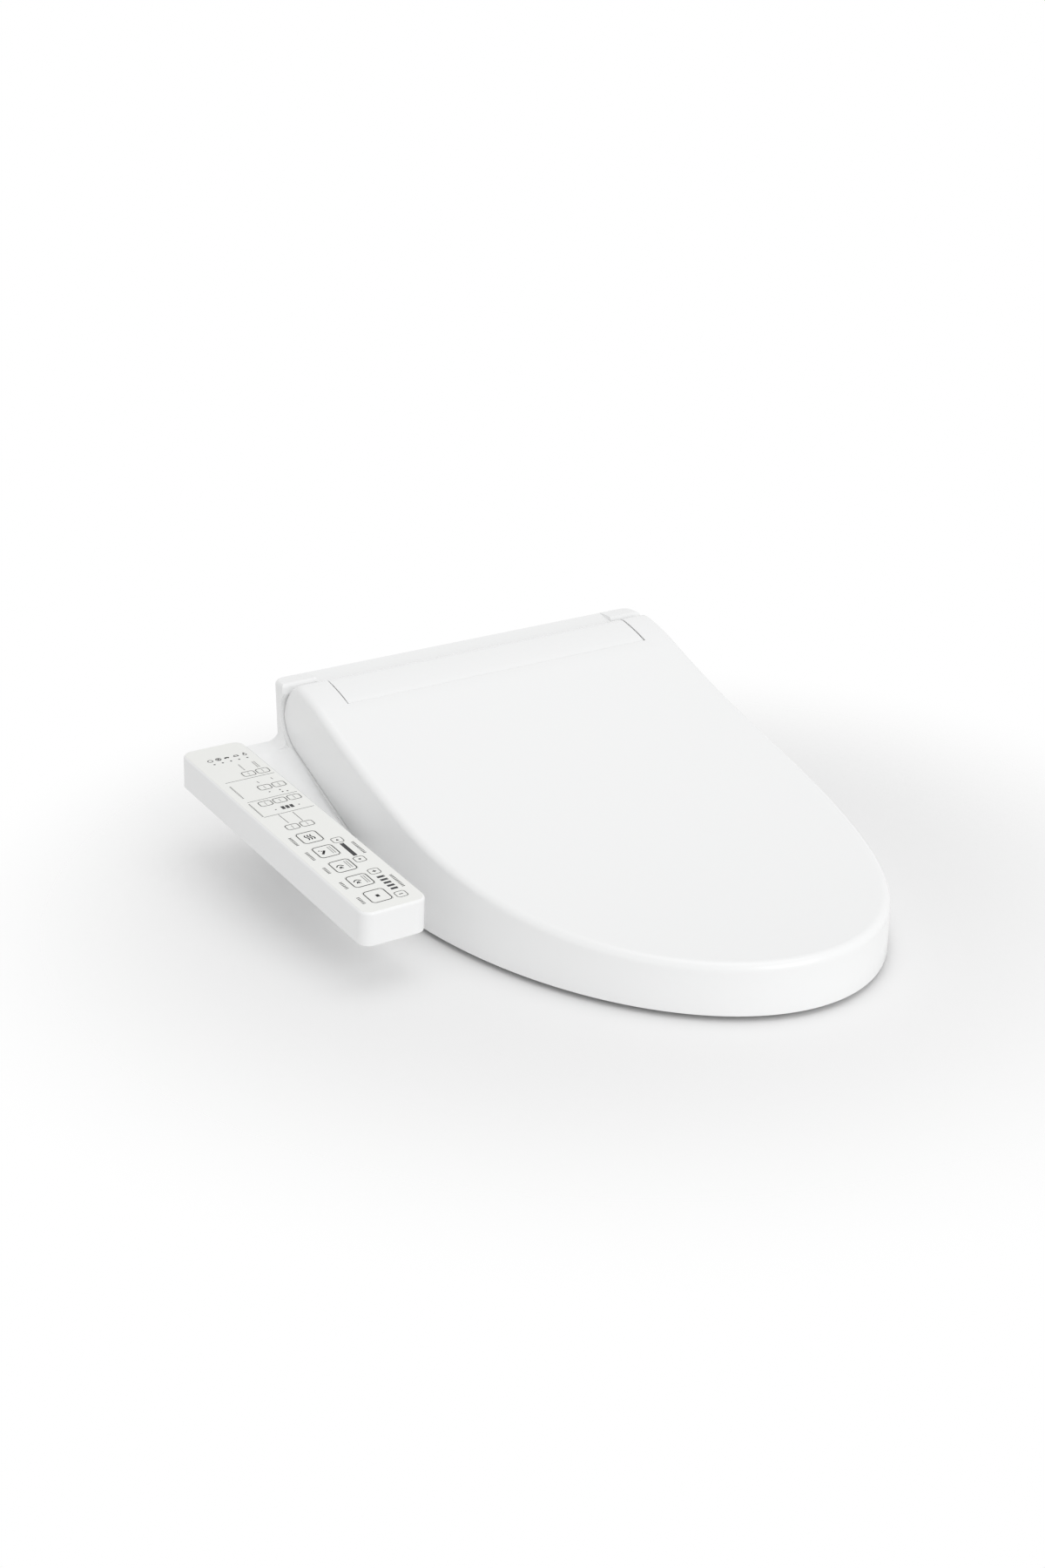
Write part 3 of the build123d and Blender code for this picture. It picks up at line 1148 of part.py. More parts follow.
with BuildPart() as nozzle_tip:
    with BuildSketch(WAND):
        Circle(WAND_R)
    extrude(amount=TIP_LENGTH)
    fillet(nozzle_tip.edges().sort_by(Axis.Y)[0], WAND_R / 2)
    with BuildSketch(RACK.offset(PINION_W / 2)):
        with Locations((TIP_LENGTH / 2, WAND_R)):
            Rectangle(TIP_LENGTH / 2, 2 * SPRAY_DEPTH)
    extrude(amount=PINION_W / 2, both=True, mode=Mode.SUBTRACT)
    with Locations(*[
        WAND.offset(TIP_LENGTH / 2 + step * SPRAY_PITCH).location * Location((0, 0, 0), (-90, 0, 0))
        for step in (-1, 0, 1)
    ]):
        Cylinder(SPRAY_R, WAND_R, align=(Align.CENTER, Align.CENTER, Align.MIN), mode=Mode.SUBTRACT)
keep(nozzle_tip, "nozzle_tip")

# Warm air dryer: scroll housing, wheel, motor, duct and outlet flap
FAN_TOP_Z = CASE_FLOOR_Z + FAN_H
with BuildPart() as fan_housing:
    with BuildSketch(Plane.XY.offset(CASE_FLOOR_Z)):
        with Locations((FAN_X, FAN_Y)):
            Circle(FAN_R)
        with Locations((DUCT_X, (FAN_Y + DUCT_START_Y) / 2)):
            Rectangle(DUCT_W, FAN_Y - DUCT_START_Y)
    extrude(amount=FAN_H)
    with BuildSketch(Plane.XY.offset(CASE_FLOOR_Z + FAN_WALL)):
        with Locations((FAN_X, FAN_Y)):
            Circle(FAN_R - FAN_WALL)
        with Locations((DUCT_X, (FAN_Y + DUCT_START_Y) / 2 - FAN_WALL)):
            Rectangle(DUCT_W - 2 * FAN_WALL, FAN_Y - DUCT_START_Y)
    extrude(amount=FAN_H - 2 * FAN_WALL, mode=Mode.SUBTRACT)
    rod((FAN_X, FAN_Y, FAN_TOP_Z - 2 * FAN_WALL), (0, 0, 1), WHEEL_EYE_R, 3 * FAN_WALL, mode=Mode.SUBTRACT)
keep(fan_housing, "fan_housing")

with BuildPart() as fan_motor:
    rod((FAN_X, FAN_Y, FAN_TOP_Z), (0, 0, 1), FAN_MOTOR_R, FAN_MOTOR_H)
    rod((FAN_X, FAN_Y, CASE_FLOOR_Z + 3 * FAN_WALL), (0, 0, 1), MOTOR_SHAFT_R, FAN_H)
    with BuildSketch(Plane.XY.offset(FAN_TOP_Z)):
        with Locations((FAN_X, FAN_Y)):
            Rectangle(2 * WHEEL_EYE_R + 4 * FAN_WALL, FAN_MOTOR_R)
            Rectangle(FAN_MOTOR_R, 2 * WHEEL_EYE_R + 4 * FAN_WALL)
    extrude(amount=FAN_WALL)
keep(fan_motor, "fan_motor")

with BuildPart() as fan_wheel:
    wheel_z = CASE_FLOOR_Z + 2 * FAN_WALL
    rod((FAN_X, FAN_Y, wheel_z), (0, 0, 1), WHEEL_R, FAN_WALL)
    rod((FAN_X, FAN_Y, wheel_z), (0, 0, 1), WHEEL_HUB_R, WHEEL_H / 2)
    with BuildSketch(Plane.XY.offset(wheel_z)):
        with Locations((FAN_X, FAN_Y)):
            with PolarLocations(WHEEL_R - BLADE_L / 2, BLADES):
                Rectangle(BLADE_L, BLADE_T, rotation=BLADE_TURN)
    extrude(amount=WHEEL_H)
    rod((FAN_X, FAN_Y, wheel_z - 1), (0, 0, 1), MOTOR_SHAFT_R + SHAFT_FIT, FAN_H, mode=Mode.SUBTRACT)
keep(fan_wheel, "fan_wheel")

with BuildPart() as air_duct:
    span_box((DUCT_X - DUCT_W / 2, DUCT_END_Y, CASE_FLOOR_Z),
             (DUCT_X + DUCT_W / 2, DUCT_START_Y - FIT_GAP, CASE_FLOOR_Z + DUCT_H))
    span_box((DUCT_X - DUCT_W / 2 + FAN_WALL, DUCT_END_Y - 1, CASE_FLOOR_Z + FAN_WALL),
             (DUCT_X + DUCT_W / 2 - FAN_WALL, DUCT_START_Y + 1, CASE_FLOOR_Z + DUCT_H - FAN_WALL),
             mode=Mode.SUBTRACT)
    rod((DUCT_X - DUCT_W, FLAP_Y, FLAP_PIN_Z), (1, 0, 0), FLAP_PIN_R + SHAFT_FIT, 2 * DUCT_W,
        mode=Mode.SUBTRACT)
keep(air_duct, "air_duct")

with BuildPart() as air_heater:
    inside_w = DUCT_W - 2 * FAN_WALL
    low_z = CASE_FLOOR_Z + FAN_WALL
    high_z = CASE_FLOOR_Z + DUCT_H - FAN_WALL
    span_box((DUCT_X - inside_w / 2, AIR_HEATER_Y[0], low_z),
             (DUCT_X + inside_w / 2, AIR_HEATER_Y[1], high_z))
    with BuildSketch(Plane.XZ.offset(-AIR_HEATER_Y[1])):
        with Locations((DUCT_X, (low_z + high_z) / 2)):
            with GridLocations(inside_w / AIR_SLOTS, 0, AIR_SLOTS, 1):
                Rectangle(inside_w / AIR_SLOTS / 2, high_z - low_z - 2 * FAN_WALL)
    extrude(amount=AIR_HEATER_Y[1] - AIR_HEATER_Y[0], mode=Mode.SUBTRACT)
keep(air_heater, "air_heater")

with BuildPart() as dryer_flap:
    span_box((DUCT_X - DUCT_W / 2 + FAN_WALL + FLAP_GAP, FLAP_Y - FLAP_T / 2, low_z + FLAP_GAP),
             (DUCT_X + DUCT_W / 2 - FAN_WALL - FLAP_GAP, FLAP_Y + FLAP_T / 2, FLAP_PIN_Z))
    rod((DUCT_X - DUCT_W / 2, FLAP_Y, FLAP_PIN_Z), (1, 0, 0), FLAP_PIN_R, DUCT_W)
keep(dryer_flap, "dryer_flap")

# Electronics, deodoriser and cord gland
with BuildPart() as main_board:
    margin = 2 * POST_R
    span_box((BOARD_POST_X[0] - margin, BOARD_POST_Y[0] - margin, MAIN_BOARD_Z),
             (BOARD_POST_X[1] + POST_R, BOARD_POST_Y[1] + margin, MAIN_BOARD_Z + BOARD_T))
    board_top = MAIN_BOARD_Z + BOARD_T
    mid_x = (BOARD_POST_X[0] + BOARD_POST_X[1]) / 2
    mid_y = (BOARD_POST_Y[0] + BOARD_POST_Y[1]) / 2
    span_box((mid_x - 2 * margin, BOARD_POST_Y[0], board_top),
             (mid_x + margin, mid_y - margin, board_top + TRANSFORMER_H))
    for step in (-1, 0, 1):
        rod((mid_x + step * 2 * margin, mid_y + margin, board_top), (0, 0, 1), CAPACITOR_R, CAPACITOR_H)
keep(main_board, "main_board")

with BuildPart() as deodoriser_cartridge:
    span_box((FILTER_BOX_X, FILTER_BOX_Y[0], FILTER_BOX_Z[0]),
             (CASE_HALF_W, FILTER_BOX_Y[1], FILTER_BOX_Z[1]))
    with BuildSketch(Plane.YZ.offset(CASE_HALF_W)):
        with Locations((sum(FILTER_BOX_Y) / 2, sum(FILTER_BOX_Z) / 2)):
            with GridLocations(0, LOUVRE_PITCH, 1, LOUVRES):
                SlotOverall(FILTER_BOX_Y[1] - FILTER_BOX_Y[0] - 2 * LOUVRE_PITCH, LOUVRE_PITCH / 2)
    extrude(amount=-2 * CASE_WALL, mode=Mode.SUBTRACT)
keep(deodoriser_cartridge, "deodoriser_cartridge")

with BuildPart() as cord_gland:
    rod((GLAND_X, REAR_Y - CASE_WALL - FIT_GAP, GLAND_Z), (0, -1, 0), GLAND_R + 2, CASE_WALL)
    rod((GLAND_X, REAR_Y - 2 * CASE_WALL, GLAND_Z), (0, 1, 0), GLAND_R, 2 * CASE_WALL + GLAND_L)
    fillet(cord_gland.edges().sort_by(Axis.Y)[-1], EDGE_BREAK)
    rod((GLAND_X, REAR_Y - 3 * CASE_WALL, GLAND_Z), (0, 1, 0), GLAND_BORE_R, CASE_WALL * 3 + 2 * GLAND_L,
        mode=Mode.SUBTRACT)
keep(cord_gland, "cord_gland")

# Control panel: housing, sheet, bottom cover, board, lenses and keys
PANEL = Plane(
    origin=(PANEL_X, PANEL_REF_Y, PANEL_REF_Z),
    x_dir=(1, 0, 0),
    z_dir=(0, -sin(radians(PANEL_TILT)), cos(radians(PANEL_TILT))),
)
PANEL_L = PANEL_REAR - PANEL_FRONT
PANEL_MID = (PANEL_REAR + PANEL_FRONT) / 2
LARGE_NAMES = ("key_dryer", "key_front_wash", "key_soft_wash", "key_rear_wash", "key_stop")
keys = []
for n, name in enumerate(LARGE_NAMES):
    keys.append((name, LARGE_KEY_X, LARGE_KEY_V - n * LARGE_KEY_PITCH, LARGE_KEY))
for row_v, row_names in zip(SMALL_ROW_V, SMALL_ROWS):
    keys += [(name, x, row_v, SMALL_KEY) for name, x in zip(row_names, COLUMN_X) if name]
keys += [(name, ADJUST_X, v, ADJUST_KEY) for name, v in ADJUST_KEYS]


def key_openings(gap):
    """Rounded openings for every key, larger than the key by gap all round."""
    for _, x, v, (width, length) in keys:
        with Locations((x, v)):
            RectangleRounded(width + 2 * gap, length + 2 * gap, KEY_CORNER + gap)


def lens_shapes(gap):
    """Indicator dots and bars, larger than the lens by gap all round."""
    for n in range(DOTS):
        with Locations((DOT_X + n * DOT_PITCH, DOT_V)):
            Circle(DOT_R + gap)
    for count, (x, first_v, pitch_x, pitch_v, (width, length)) in zip(BAR_COUNTS, BAR_RUNS):
        for n in range(count):
            with Locations((x + n * pitch_x, first_v + n * pitch_v)):
                Rectangle(width + 2 * gap, length + 2 * gap)


with BuildPart() as panel_case:
    with BuildSketch(PANEL.offset(-PANEL_H)):
        with Locations((0, PANEL_MID)):
            RectangleRounded(PANEL_W, PANEL_L, PANEL_CORNER_R)
    extrude(amount=PANEL_H)
    rim = panel_case.edges().filter_by(lambda e: abs(PANEL.to_local_coords(e @ 0.5).Z) < FIT_GAP)
    fillet(rim, PANEL_EDGE_R)
    with BuildSketch(PANEL.offset(-PANEL_H)):
        with Locations((0, PANEL_MID)):
            inset = 2 * PANEL_WALL
            RectangleRounded(PANEL_W - inset, PANEL_L - inset, PANEL_CORNER_R - PANEL_WALL)
    extrude(amount=PANEL_H - PANEL_WALL - SHEET_T, mode=Mode.SUBTRACT)
    with BuildSketch(PANEL.offset(-SHEET_T)):
        with Locations((0, PANEL_MID)):
            inset = 2 * SHEET_INSET
            RectangleRounded(PANEL_W - inset, PANEL_L - inset, PANEL_CORNER_R - SHEET_INSET)
    extrude(amount=SHEET_T, mode=Mode.SUBTRACT)
    with BuildSketch(PANEL):
        key_openings(KEY_GAP)
    extrude(amount=-PANEL_WALL - 2 * SHEET_T, mode=Mode.SUBTRACT)
keep(panel_case, "panel_case")

with BuildPart() as panel_sheet:
    with BuildSketch(PANEL.offset(-SHEET_T)):
        with Locations((0, PANEL_MID)):
            inset = 2 * (SHEET_INSET + FIT_GAP)
            RectangleRounded(PANEL_W - inset, PANEL_L - inset, PANEL_CORNER_R - inset / 2)
    extrude(amount=SHEET_T)
    with BuildSketch(PANEL):
        key_openings(KEY_GAP)
        lens_shapes(FIT_GAP)
    extrude(amount=-SHEET_T, mode=Mode.SUBTRACT)
keep(panel_sheet, "panel_sheet")

with BuildPart() as indicator_lenses:
    with BuildSketch(PANEL.offset(-SHEET_T)):
        lens_shapes(0)
    extrude(amount=SHEET_T)
keep(indicator_lenses, "indicator_lenses")

with BuildPart() as panel_bottom:
    with BuildSketch(PANEL.offset(-PANEL_H)):
        with Locations((0, PANEL_MID)):
            inset = 2 * (PANEL_WALL + FIT_GAP)
            RectangleRounded(PANEL_W - inset, PANEL_L - inset, PANEL_CORNER_R - inset / 2)
    extrude(amount=PANEL_WALL)
    with BuildSketch(PANEL.offset(-PANEL_H)):
        with Locations((0, PANEL_MID)):
            with GridLocations(BOARD_W - 4 * STEM_R, PANEL_L - 8 * PANEL_WALL - 4 * STEM_R, 2, 2):
                Circle(STEM_R)
    extrude(amount=PANEL_H - BOARD_DEPTH - BOARD_T)
keep(panel_bottom, "panel_bottom")

with BuildPart() as panel_board:
    with BuildSketch(PANEL.offset(-BOARD_DEPTH - BOARD_T)):
        with Locations((0, PANEL_MID)):
            Rectangle(BOARD_W, PANEL_L - 8 * PANEL_WALL)
    extrude(amount=BOARD_T)
keep(panel_board, "panel_board")


def key(x, v, size):
    """One key: a flush cap with a stem that stops short of the board."""
    with BuildPart() as cap:
        with BuildSketch(PANEL.offset(-KEY_T)):
            with Locations((x, v)):
                RectangleRounded(*size, KEY_CORNER)
        extrude(amount=KEY_T)
        with BuildSketch(PANEL.offset(-BOARD_DEPTH + KEY_TRAVEL + KEY_REST)):
            with Locations((x, v)):
                Circle(STEM_R)
        extrude(amount=BOARD_DEPTH - KEY_TRAVEL - KEY_REST - KEY_T)
    return cap


for name, x, v, size in keys:
    keep(key(x, v, size), name)

os.makedirs("parts", exist_ok=True)
for piece in pieces:
    export_step(piece, f"parts/{piece.label}.step")
print(len(pieces), "pieces")
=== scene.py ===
"""Looks of an electric bidet seat: swept lid, hinge cover, casing, control panel, finishes.

Lengths in the classes are millimetres in the part's own frame: +Z up, the front of the seat
towards -Y, the control panel on the -X side.
"""

from __future__ import annotations

import json
import logging
import math
from dataclasses import dataclass, field
from enum import Enum
from typing import Callable, Sequence

import bpy
from mathutils import Matrix, Vector

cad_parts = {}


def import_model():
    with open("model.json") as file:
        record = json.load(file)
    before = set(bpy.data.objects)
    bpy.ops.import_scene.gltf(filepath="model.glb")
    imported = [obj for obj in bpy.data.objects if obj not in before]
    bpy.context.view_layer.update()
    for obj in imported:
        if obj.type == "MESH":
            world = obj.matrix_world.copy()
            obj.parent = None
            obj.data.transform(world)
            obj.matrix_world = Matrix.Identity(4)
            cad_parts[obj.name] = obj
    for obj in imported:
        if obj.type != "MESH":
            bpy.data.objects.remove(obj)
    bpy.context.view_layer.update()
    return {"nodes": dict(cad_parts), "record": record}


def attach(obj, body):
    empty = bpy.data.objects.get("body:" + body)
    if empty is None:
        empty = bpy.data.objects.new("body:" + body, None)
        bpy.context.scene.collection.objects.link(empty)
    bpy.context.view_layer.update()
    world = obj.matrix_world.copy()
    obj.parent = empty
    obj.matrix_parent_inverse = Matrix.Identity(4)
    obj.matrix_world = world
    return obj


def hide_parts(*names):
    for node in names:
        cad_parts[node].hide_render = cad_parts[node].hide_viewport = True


LOG = logging.getLogger("bidet_seat")
MM = 0.001
NEAR = 0.01  # millimetres within which places count as the same

Point2 = tuple[float, float]
Point3 = tuple[float, float, float]


class Grain(Enum):
    """How coarse a relief is: noise scale per metre, relief height in metres, strength."""

    POLISHED = (140.0, 0.00004, 0.10)
    MOULDED = (900.0, 0.00003, 0.16)
    FILM = (1500.0, 0.00002, 0.22)
    RUBBER = (1900.0, 0.00006, 0.40)
    CAST = (620.0, 0.00009, 0.35)


class Ink(Enum):
    """Which of the panel's printing inks a mark takes."""

    BLACK = "black"
    DARK = "dark"
    PALE = "pale"


class Pick(Enum):
    """Which kind of element an edit selects."""

    VERT = "VERT"
    FACE = "FACE"


class Sign(Enum):
    """What is printed inside a key's outline."""

    WAVES = "waves"
    JET = "jet"
    SPRAY = "spray"
    SQUARE = "square"
    ARROW_BACK = "arrow_back"
    ARROW_FRONT = "arrow_front"
    PLUS = "plus"
    MINUS = "minus"
    TICKS = "ticks"


@dataclass(frozen=True)
class Finish:
    """A finish that becomes one procedural material."""

    name: str
    colour: Point3
    roughness: float
    grain: Grain
    tint: float = 0.02
    spread: float = 0.05
    metallic: float = 0.0
    coat: float = 0.0
    coat_roughness: float = 0.12
    ior: float = 1.49
    shine: float = 0.5

    def material(self) -> bpy.types.Material:
        """Build the material once and hand it out again afterwards.

        Returns:
            The finish's material.
        """
        found = bpy.data.materials.get(self.name)
        if found is not None:
            return found
        made = bpy.data.materials.new(self.name)
        made.use_nodes = True
        nodes = made.node_tree.nodes
        links = made.node_tree.links
        shader = nodes["Principled BSDF"]
        shader.inputs["Metallic"].default_value = self.metallic
        shader.inputs["Coat Weight"].default_value = self.coat
        shader.inputs["Coat Roughness"].default_value = self.coat_roughness
        shader.inputs["IOR"].default_value = self.ior
        shader.inputs["Specular IOR Level"].default_value = self.shine
        surface = nodes.new("ShaderNodeGroup")
        surface.node_tree = surface_relief()
        surface.inputs["Colour"].default_value = (*self.colour, 1.0)
        surface.inputs["Tint"].default_value = self.tint
        surface.inputs["Roughness"].default_value = self.roughness
        surface.inputs["Spread"].default_value = self.spread
        scale, height, strength = self.grain.value
        surface.inputs["Grain Scale"].default_value = scale
        bump = nodes.new("ShaderNodeBump")
        bump.inputs["Strength"].default_value = strength
        bump.inputs["Distance"].default_value = height
        links.new(surface.outputs["Colour"], shader.inputs["Base Color"])
        links.new(surface.outputs["Roughness"], shader.inputs["Roughness"])
        links.new(surface.outputs["Height"], bump.inputs["Height"])
        links.new(bump.outputs["Normal"], shader.inputs["Normal"])
        return made


def surface_relief(
    cloud_scale: float = 16.0, cloud_detail: float = 3.0, grain_detail: float = 2.0
) -> bpy.types.NodeTree:
    """Shared effect: faint cloudy tint, uneven gloss and a fine relief over any surface.

    Args:
        cloud_scale: Noise scale of the tint, per metre.
        cloud_detail: Noise detail of the tint.
        grain_detail: Noise detail of the gloss and the relief.

    Returns:
        The node group, built on first use.
    """
    found = bpy.data.node_groups.get("surface_relief")
    if found is not None:
        return found
    group = bpy.data.node_groups.new("surface_relief", "ShaderNodeTree")
    sockets = group.interface
    sockets.new_socket("Colour", in_out="INPUT", socket_type="NodeSocketColor")
    for name in ("Tint", "Roughness", "Spread", "Grain Scale"):
        sockets.new_socket(name, in_out="INPUT", socket_type="NodeSocketFloat")
    sockets.new_socket("Colour", in_out="OUTPUT", socket_type="NodeSocketColor")
    sockets.new_socket("Roughness", in_out="OUTPUT", socket_type="NodeSocketFloat")
    sockets.new_socket("Height", in_out="OUTPUT", socket_type="NodeSocketFloat")
    nodes = group.nodes
    links = group.links
    inside = nodes.new("NodeGroupInput")
    outside = nodes.new("NodeGroupOutput")
    place = nodes.new("ShaderNodeTexCoord")
    cloud = nodes.new("ShaderNodeTexNoise")
    cloud.inputs["Scale"].default_value = cloud_scale
    cloud.inputs["Detail"].default_value = cloud_detail
    grain = nodes.new("ShaderNodeTexNoise")
    grain.inputs["Detail"].default_value = grain_detail
    centred = math_node(nodes, "SUBTRACT", second=0.5)
    tinted = math_node(nodes, "MULTIPLY")
    level = math_node(nodes, "ADD", second=1.0)
    shade = nodes.new("ShaderNodeVectorMath")
    shade.operation = "SCALE"
    rough_centred = math_node(nodes, "SUBTRACT", second=0.5)
    rough_spread = math_node(nodes, "MULTIPLY")
    rough_sum = math_node(nodes, "ADD")
    links.new(place.outputs["Object"], cloud.inputs["Vector"])
    links.new(place.outputs["Object"], grain.inputs["Vector"])
    links.new(inside.outputs["Grain Scale"], grain.inputs["Scale"])
    links.new(cloud.outputs["Fac"], centred.inputs[0])
    links.new(centred.outputs[0], tinted.inputs[0])
    links.new(inside.outputs["Tint"], tinted.inputs[1])
    links.new(tinted.outputs[0], level.inputs[0])
    links.new(inside.outputs["Colour"], shade.inputs[0])
    links.new(level.outputs[0], shade.inputs["Scale"])
    links.new(shade.outputs[0], outside.inputs["Colour"])
    links.new(grain.outputs["Fac"], rough_centred.inputs[0])
    links.new(rough_centred.outputs[0], rough_spread.inputs[0])
    links.new(inside.outputs["Spread"], rough_spread.inputs[1])
    links.new(rough_spread.outputs[0], rough_sum.inputs[0])
    links.new(inside.outputs["Roughness"], rough_sum.inputs[1])
    links.new(rough_sum.outputs[0], outside.inputs["Roughness"])
    links.new(grain.outputs["Fac"], outside.inputs["Height"])
    return group


def math_node(
    nodes: bpy.types.Nodes, operation: str, second: float | None = None
) -> bpy.types.Node:
    """Add a Math node.

    Args:
        nodes: Where the node goes.
        operation: The node's operation.
        second: A fixed second value, if it has one.

    Returns:
        The new node.
    """
    node = nodes.new("ShaderNodeMath")
    node.operation = operation
    if second is not None:
        node.inputs[1].default_value = second
    return node


CASE_WHITE = Finish("case_white", (0.86, 0.862, 0.862), 0.27, Grain.POLISHED, tint=0.012, coat=0.15)
SEAT_WHITE = Finish("seat_white", (0.85, 0.852, 0.845), 0.22, Grain.POLISHED, tint=0.012, coat=0.2)
PANEL_FILM = Finish("panel_film", (0.775, 0.785, 0.745), 0.46, Grain.FILM, tint=0.015)
KEY_FILM = Finish("key_film", (0.785, 0.795, 0.757), 0.44, Grain.FILM, tint=0.015)
LENS_DARK = Finish("lens_dark", (0.012, 0.012, 0.014), 0.24, Grain.POLISHED, shine=0.2)
PAD_RUBBER = Finish("pad_rubber", (0.5, 0.5, 0.49), 0.72, Grain.RUBBER, tint=0.08)
STEEL = Finish("steel", (0.58, 0.59, 0.61), 0.3, Grain.CAST, metallic=1.0)
INLET_METAL = Finish("inlet_metal", (0.64, 0.63, 0.6), 0.26, Grain.CAST, metallic=1.0)
INNER_PLASTIC = Finish("inner_plastic", (0.6, 0.61, 0.61), 0.5, Grain.MOULDED, tint=0.05)
WAND_WHITE = Finish("wand_white", (0.84, 0.845, 0.845), 0.24, Grain.POLISHED)
FOIL = Finish("foil", (0.75, 0.75, 0.76), 0.34, Grain.CAST, metallic=1.0)
HEATER_CERAMIC = Finish("heater_ceramic", (0.72, 0.69, 0.62), 0.6, Grain.CAST, tint=0.08)
BOARD_GREEN = Finish("board_green", (0.03, 0.16, 0.07), 0.38, Grain.MOULDED, tint=0.2)
# Near-black finish for the strips in the hinge's end gaps: painted shade, not the colour of a real
# part.
GAP_SHADE_FINISH = Finish("painted_gap_shade", (0.03, 0.03, 0.03), 0.7, Grain.RUBBER, tint=0.05, shine=0.15)
INKS = {
    Ink.BLACK: Finish("ink_black", (0.02, 0.02, 0.022), 0.5, Grain.FILM, shine=0.12),
    Ink.DARK: Finish("ink_dark", (0.03, 0.03, 0.03), 0.5, Grain.FILM, shine=0.12),
    Ink.PALE: Finish("ink_pale", (0.075, 0.075, 0.074), 0.5, Grain.FILM, shine=0.12),
}
SLOT_FINISH = {
    finish.name: finish
    for finish in (
        CASE_WHITE, SEAT_WHITE, PANEL_FILM, KEY_FILM, LENS_DARK, PAD_RUBBER, STEEL,
        INLET_METAL, INNER_PLASTIC, WAND_WHITE, FOIL, HEATER_CERAMIC, BOARD_GREEN,
    )
}


class Bench:
    """Modelling moves shared by the sub-assemblies."""

    @staticmethod
    def clear() -> None:
        """Leave edit mode and select nothing."""
        if bpy.context.object is not None and bpy.context.object.mode != "OBJECT":
            bpy.ops.object.mode_set(mode="OBJECT")
        bpy.ops.object.select_all(action="DESELECT")

    @classmethod
    def only(cls, piece: bpy.types.Object) -> None:
        """Make one object the only one selected, and active.

        Args:
            piece: The object.
        """
        cls.clear()
        piece.select_set(True)
        bpy.context.view_layer.objects.active = piece

    @classmethod
    def edit(
        cls, piece: bpy.types.Object, pick: Pick, test: Callable[[object], bool] | None = None
    ) -> None:
        """Open an object in edit mode with some of its elements selected.

        Args:
            piece: The object to open.
            pick: The kind of element to select.
            test: Says which elements are selected; without it all are.
        """
        cls.only(piece)
        mesh = piece.data
        for group in (mesh.vertices, mesh.edges, mesh.polygons):
            group.foreach_set("select", [False] * len(group))
        for element in mesh.vertices if pick is Pick.VERT else mesh.polygons:
            element.select = test is None or test(element)
        bpy.context.tool_settings.mesh_select_mode = (pick is Pick.VERT, False, pick is Pick.FACE)
        bpy.ops.object.mode_set(mode="EDIT")

    @staticmethod
    def close() -> None:
        """Leave edit mode."""
        bpy.ops.object.mode_set(mode="OBJECT")

    @staticmethod
    def push(move: Point3) -> None:
        """Extrude what is selected by a move in millimetres."""
        value = tuple(step * MM for step in move)
        bpy.ops.mesh.extrude_region_move(TRANSFORM_OT_translate={"value": value})

    @classmethod
    def grid(
        cls, name: str, across: int, along: int, place: Callable[[int, int], Sequence[float]]
    ) -> bpy.types.Object:
        """Add a grid and draw its points out to a form.

        Args:
            name: The object's name.
            across: Faces along the grid's columns.
            along: Faces along its rows.
            place: Where the point of a column and a row goes, in millimetres.

        Returns:
            The shaped grid, its doubles merged.
        """
        cls.clear()
        bpy.ops.mesh.primitive_grid_add(x_subdivisions=across, y_subdivisions=along, size=2.0)
        piece = bpy.context.object
        piece.name = name
        for vertex in piece.data.vertices:
            column = round((vertex.co.x + 1) / 2 * across)
            row = round((vertex.co.y + 1) / 2 * along)
            vertex.co = Vector(place(column, row)) * MM
        cls.merge(piece)
        return piece

    @classmethod
    def merge(cls, piece: bpy.types.Object, reach: float = 0.002) -> None:
        """Merge the points that lie near each other and drop faces of no area.

        Args:
            piece: The object.
            reach: How near, in millimetres.
        """
        cls.edit(piece, Pick.VERT)
        bpy.ops.mesh.remove_doubles(threshold=reach * MM)
        bpy.ops.mesh.select_all(action="SELECT")
        bpy.ops.mesh.dissolve_degenerate(threshold=reach * MM)
        cls.close()

    @classmethod
    def prism(
        cls, name: str, outline: Sequence[Point2], low: float, high: float
    ) -> bpy.types.Object:
        """Push a closed outline out along X.

        Args:
            name: The object's name.
            outline: (y, z) corners in order, in millimetres.
            low: Where the prism starts along X.
            high: Where it ends.

        Returns:
            The closed prism.
        """
        cls.clear()
        bpy.ops.mesh.primitive_circle_add(vertices=len(outline), fill_type="NGON")
        piece = bpy.context.object
        piece.name = name
        for vertex, (y, z) in zip(piece.data.vertices, outline):
            vertex.co = Vector((low, y, z)) * MM
        cls.edit(piece, Pick.FACE)
        cls.push((high - low, 0.0, 0.0))
        bpy.ops.mesh.select_all(action="SELECT")
        bpy.ops.mesh.normals_make_consistent(inside=False)
        cls.close()
        return piece

    @classmethod
    def finish(cls, piece: bpy.types.Object, angle: float = 38.0) -> None:
        """Apply the modifiers in order and smooth the shading.

        Args:
            piece: The object.
            angle: Edges sharper than this stay sharp, in degrees.
        """
        cls.only(piece)
        for modifier in list(piece.modifiers):
            bpy.ops.object.modifier_apply(modifier=modifier.name)
        bpy.ops.object.shade_smooth_by_angle(angle=math.radians(angle))

    @classmethod
    def even(cls, piece: bpy.types.Object) -> None:
        """Let the large faces lead the shading, so that flats look flat beside their rounds.

        Args:
            piece: The object, already smoothed.
        """
        cls.only(piece)
        shading = piece.modifiers.new("shading", "WEIGHTED_NORMAL")
        shading.keep_sharp = True
        bpy.ops.object.modifier_apply(modifier=shading.name)

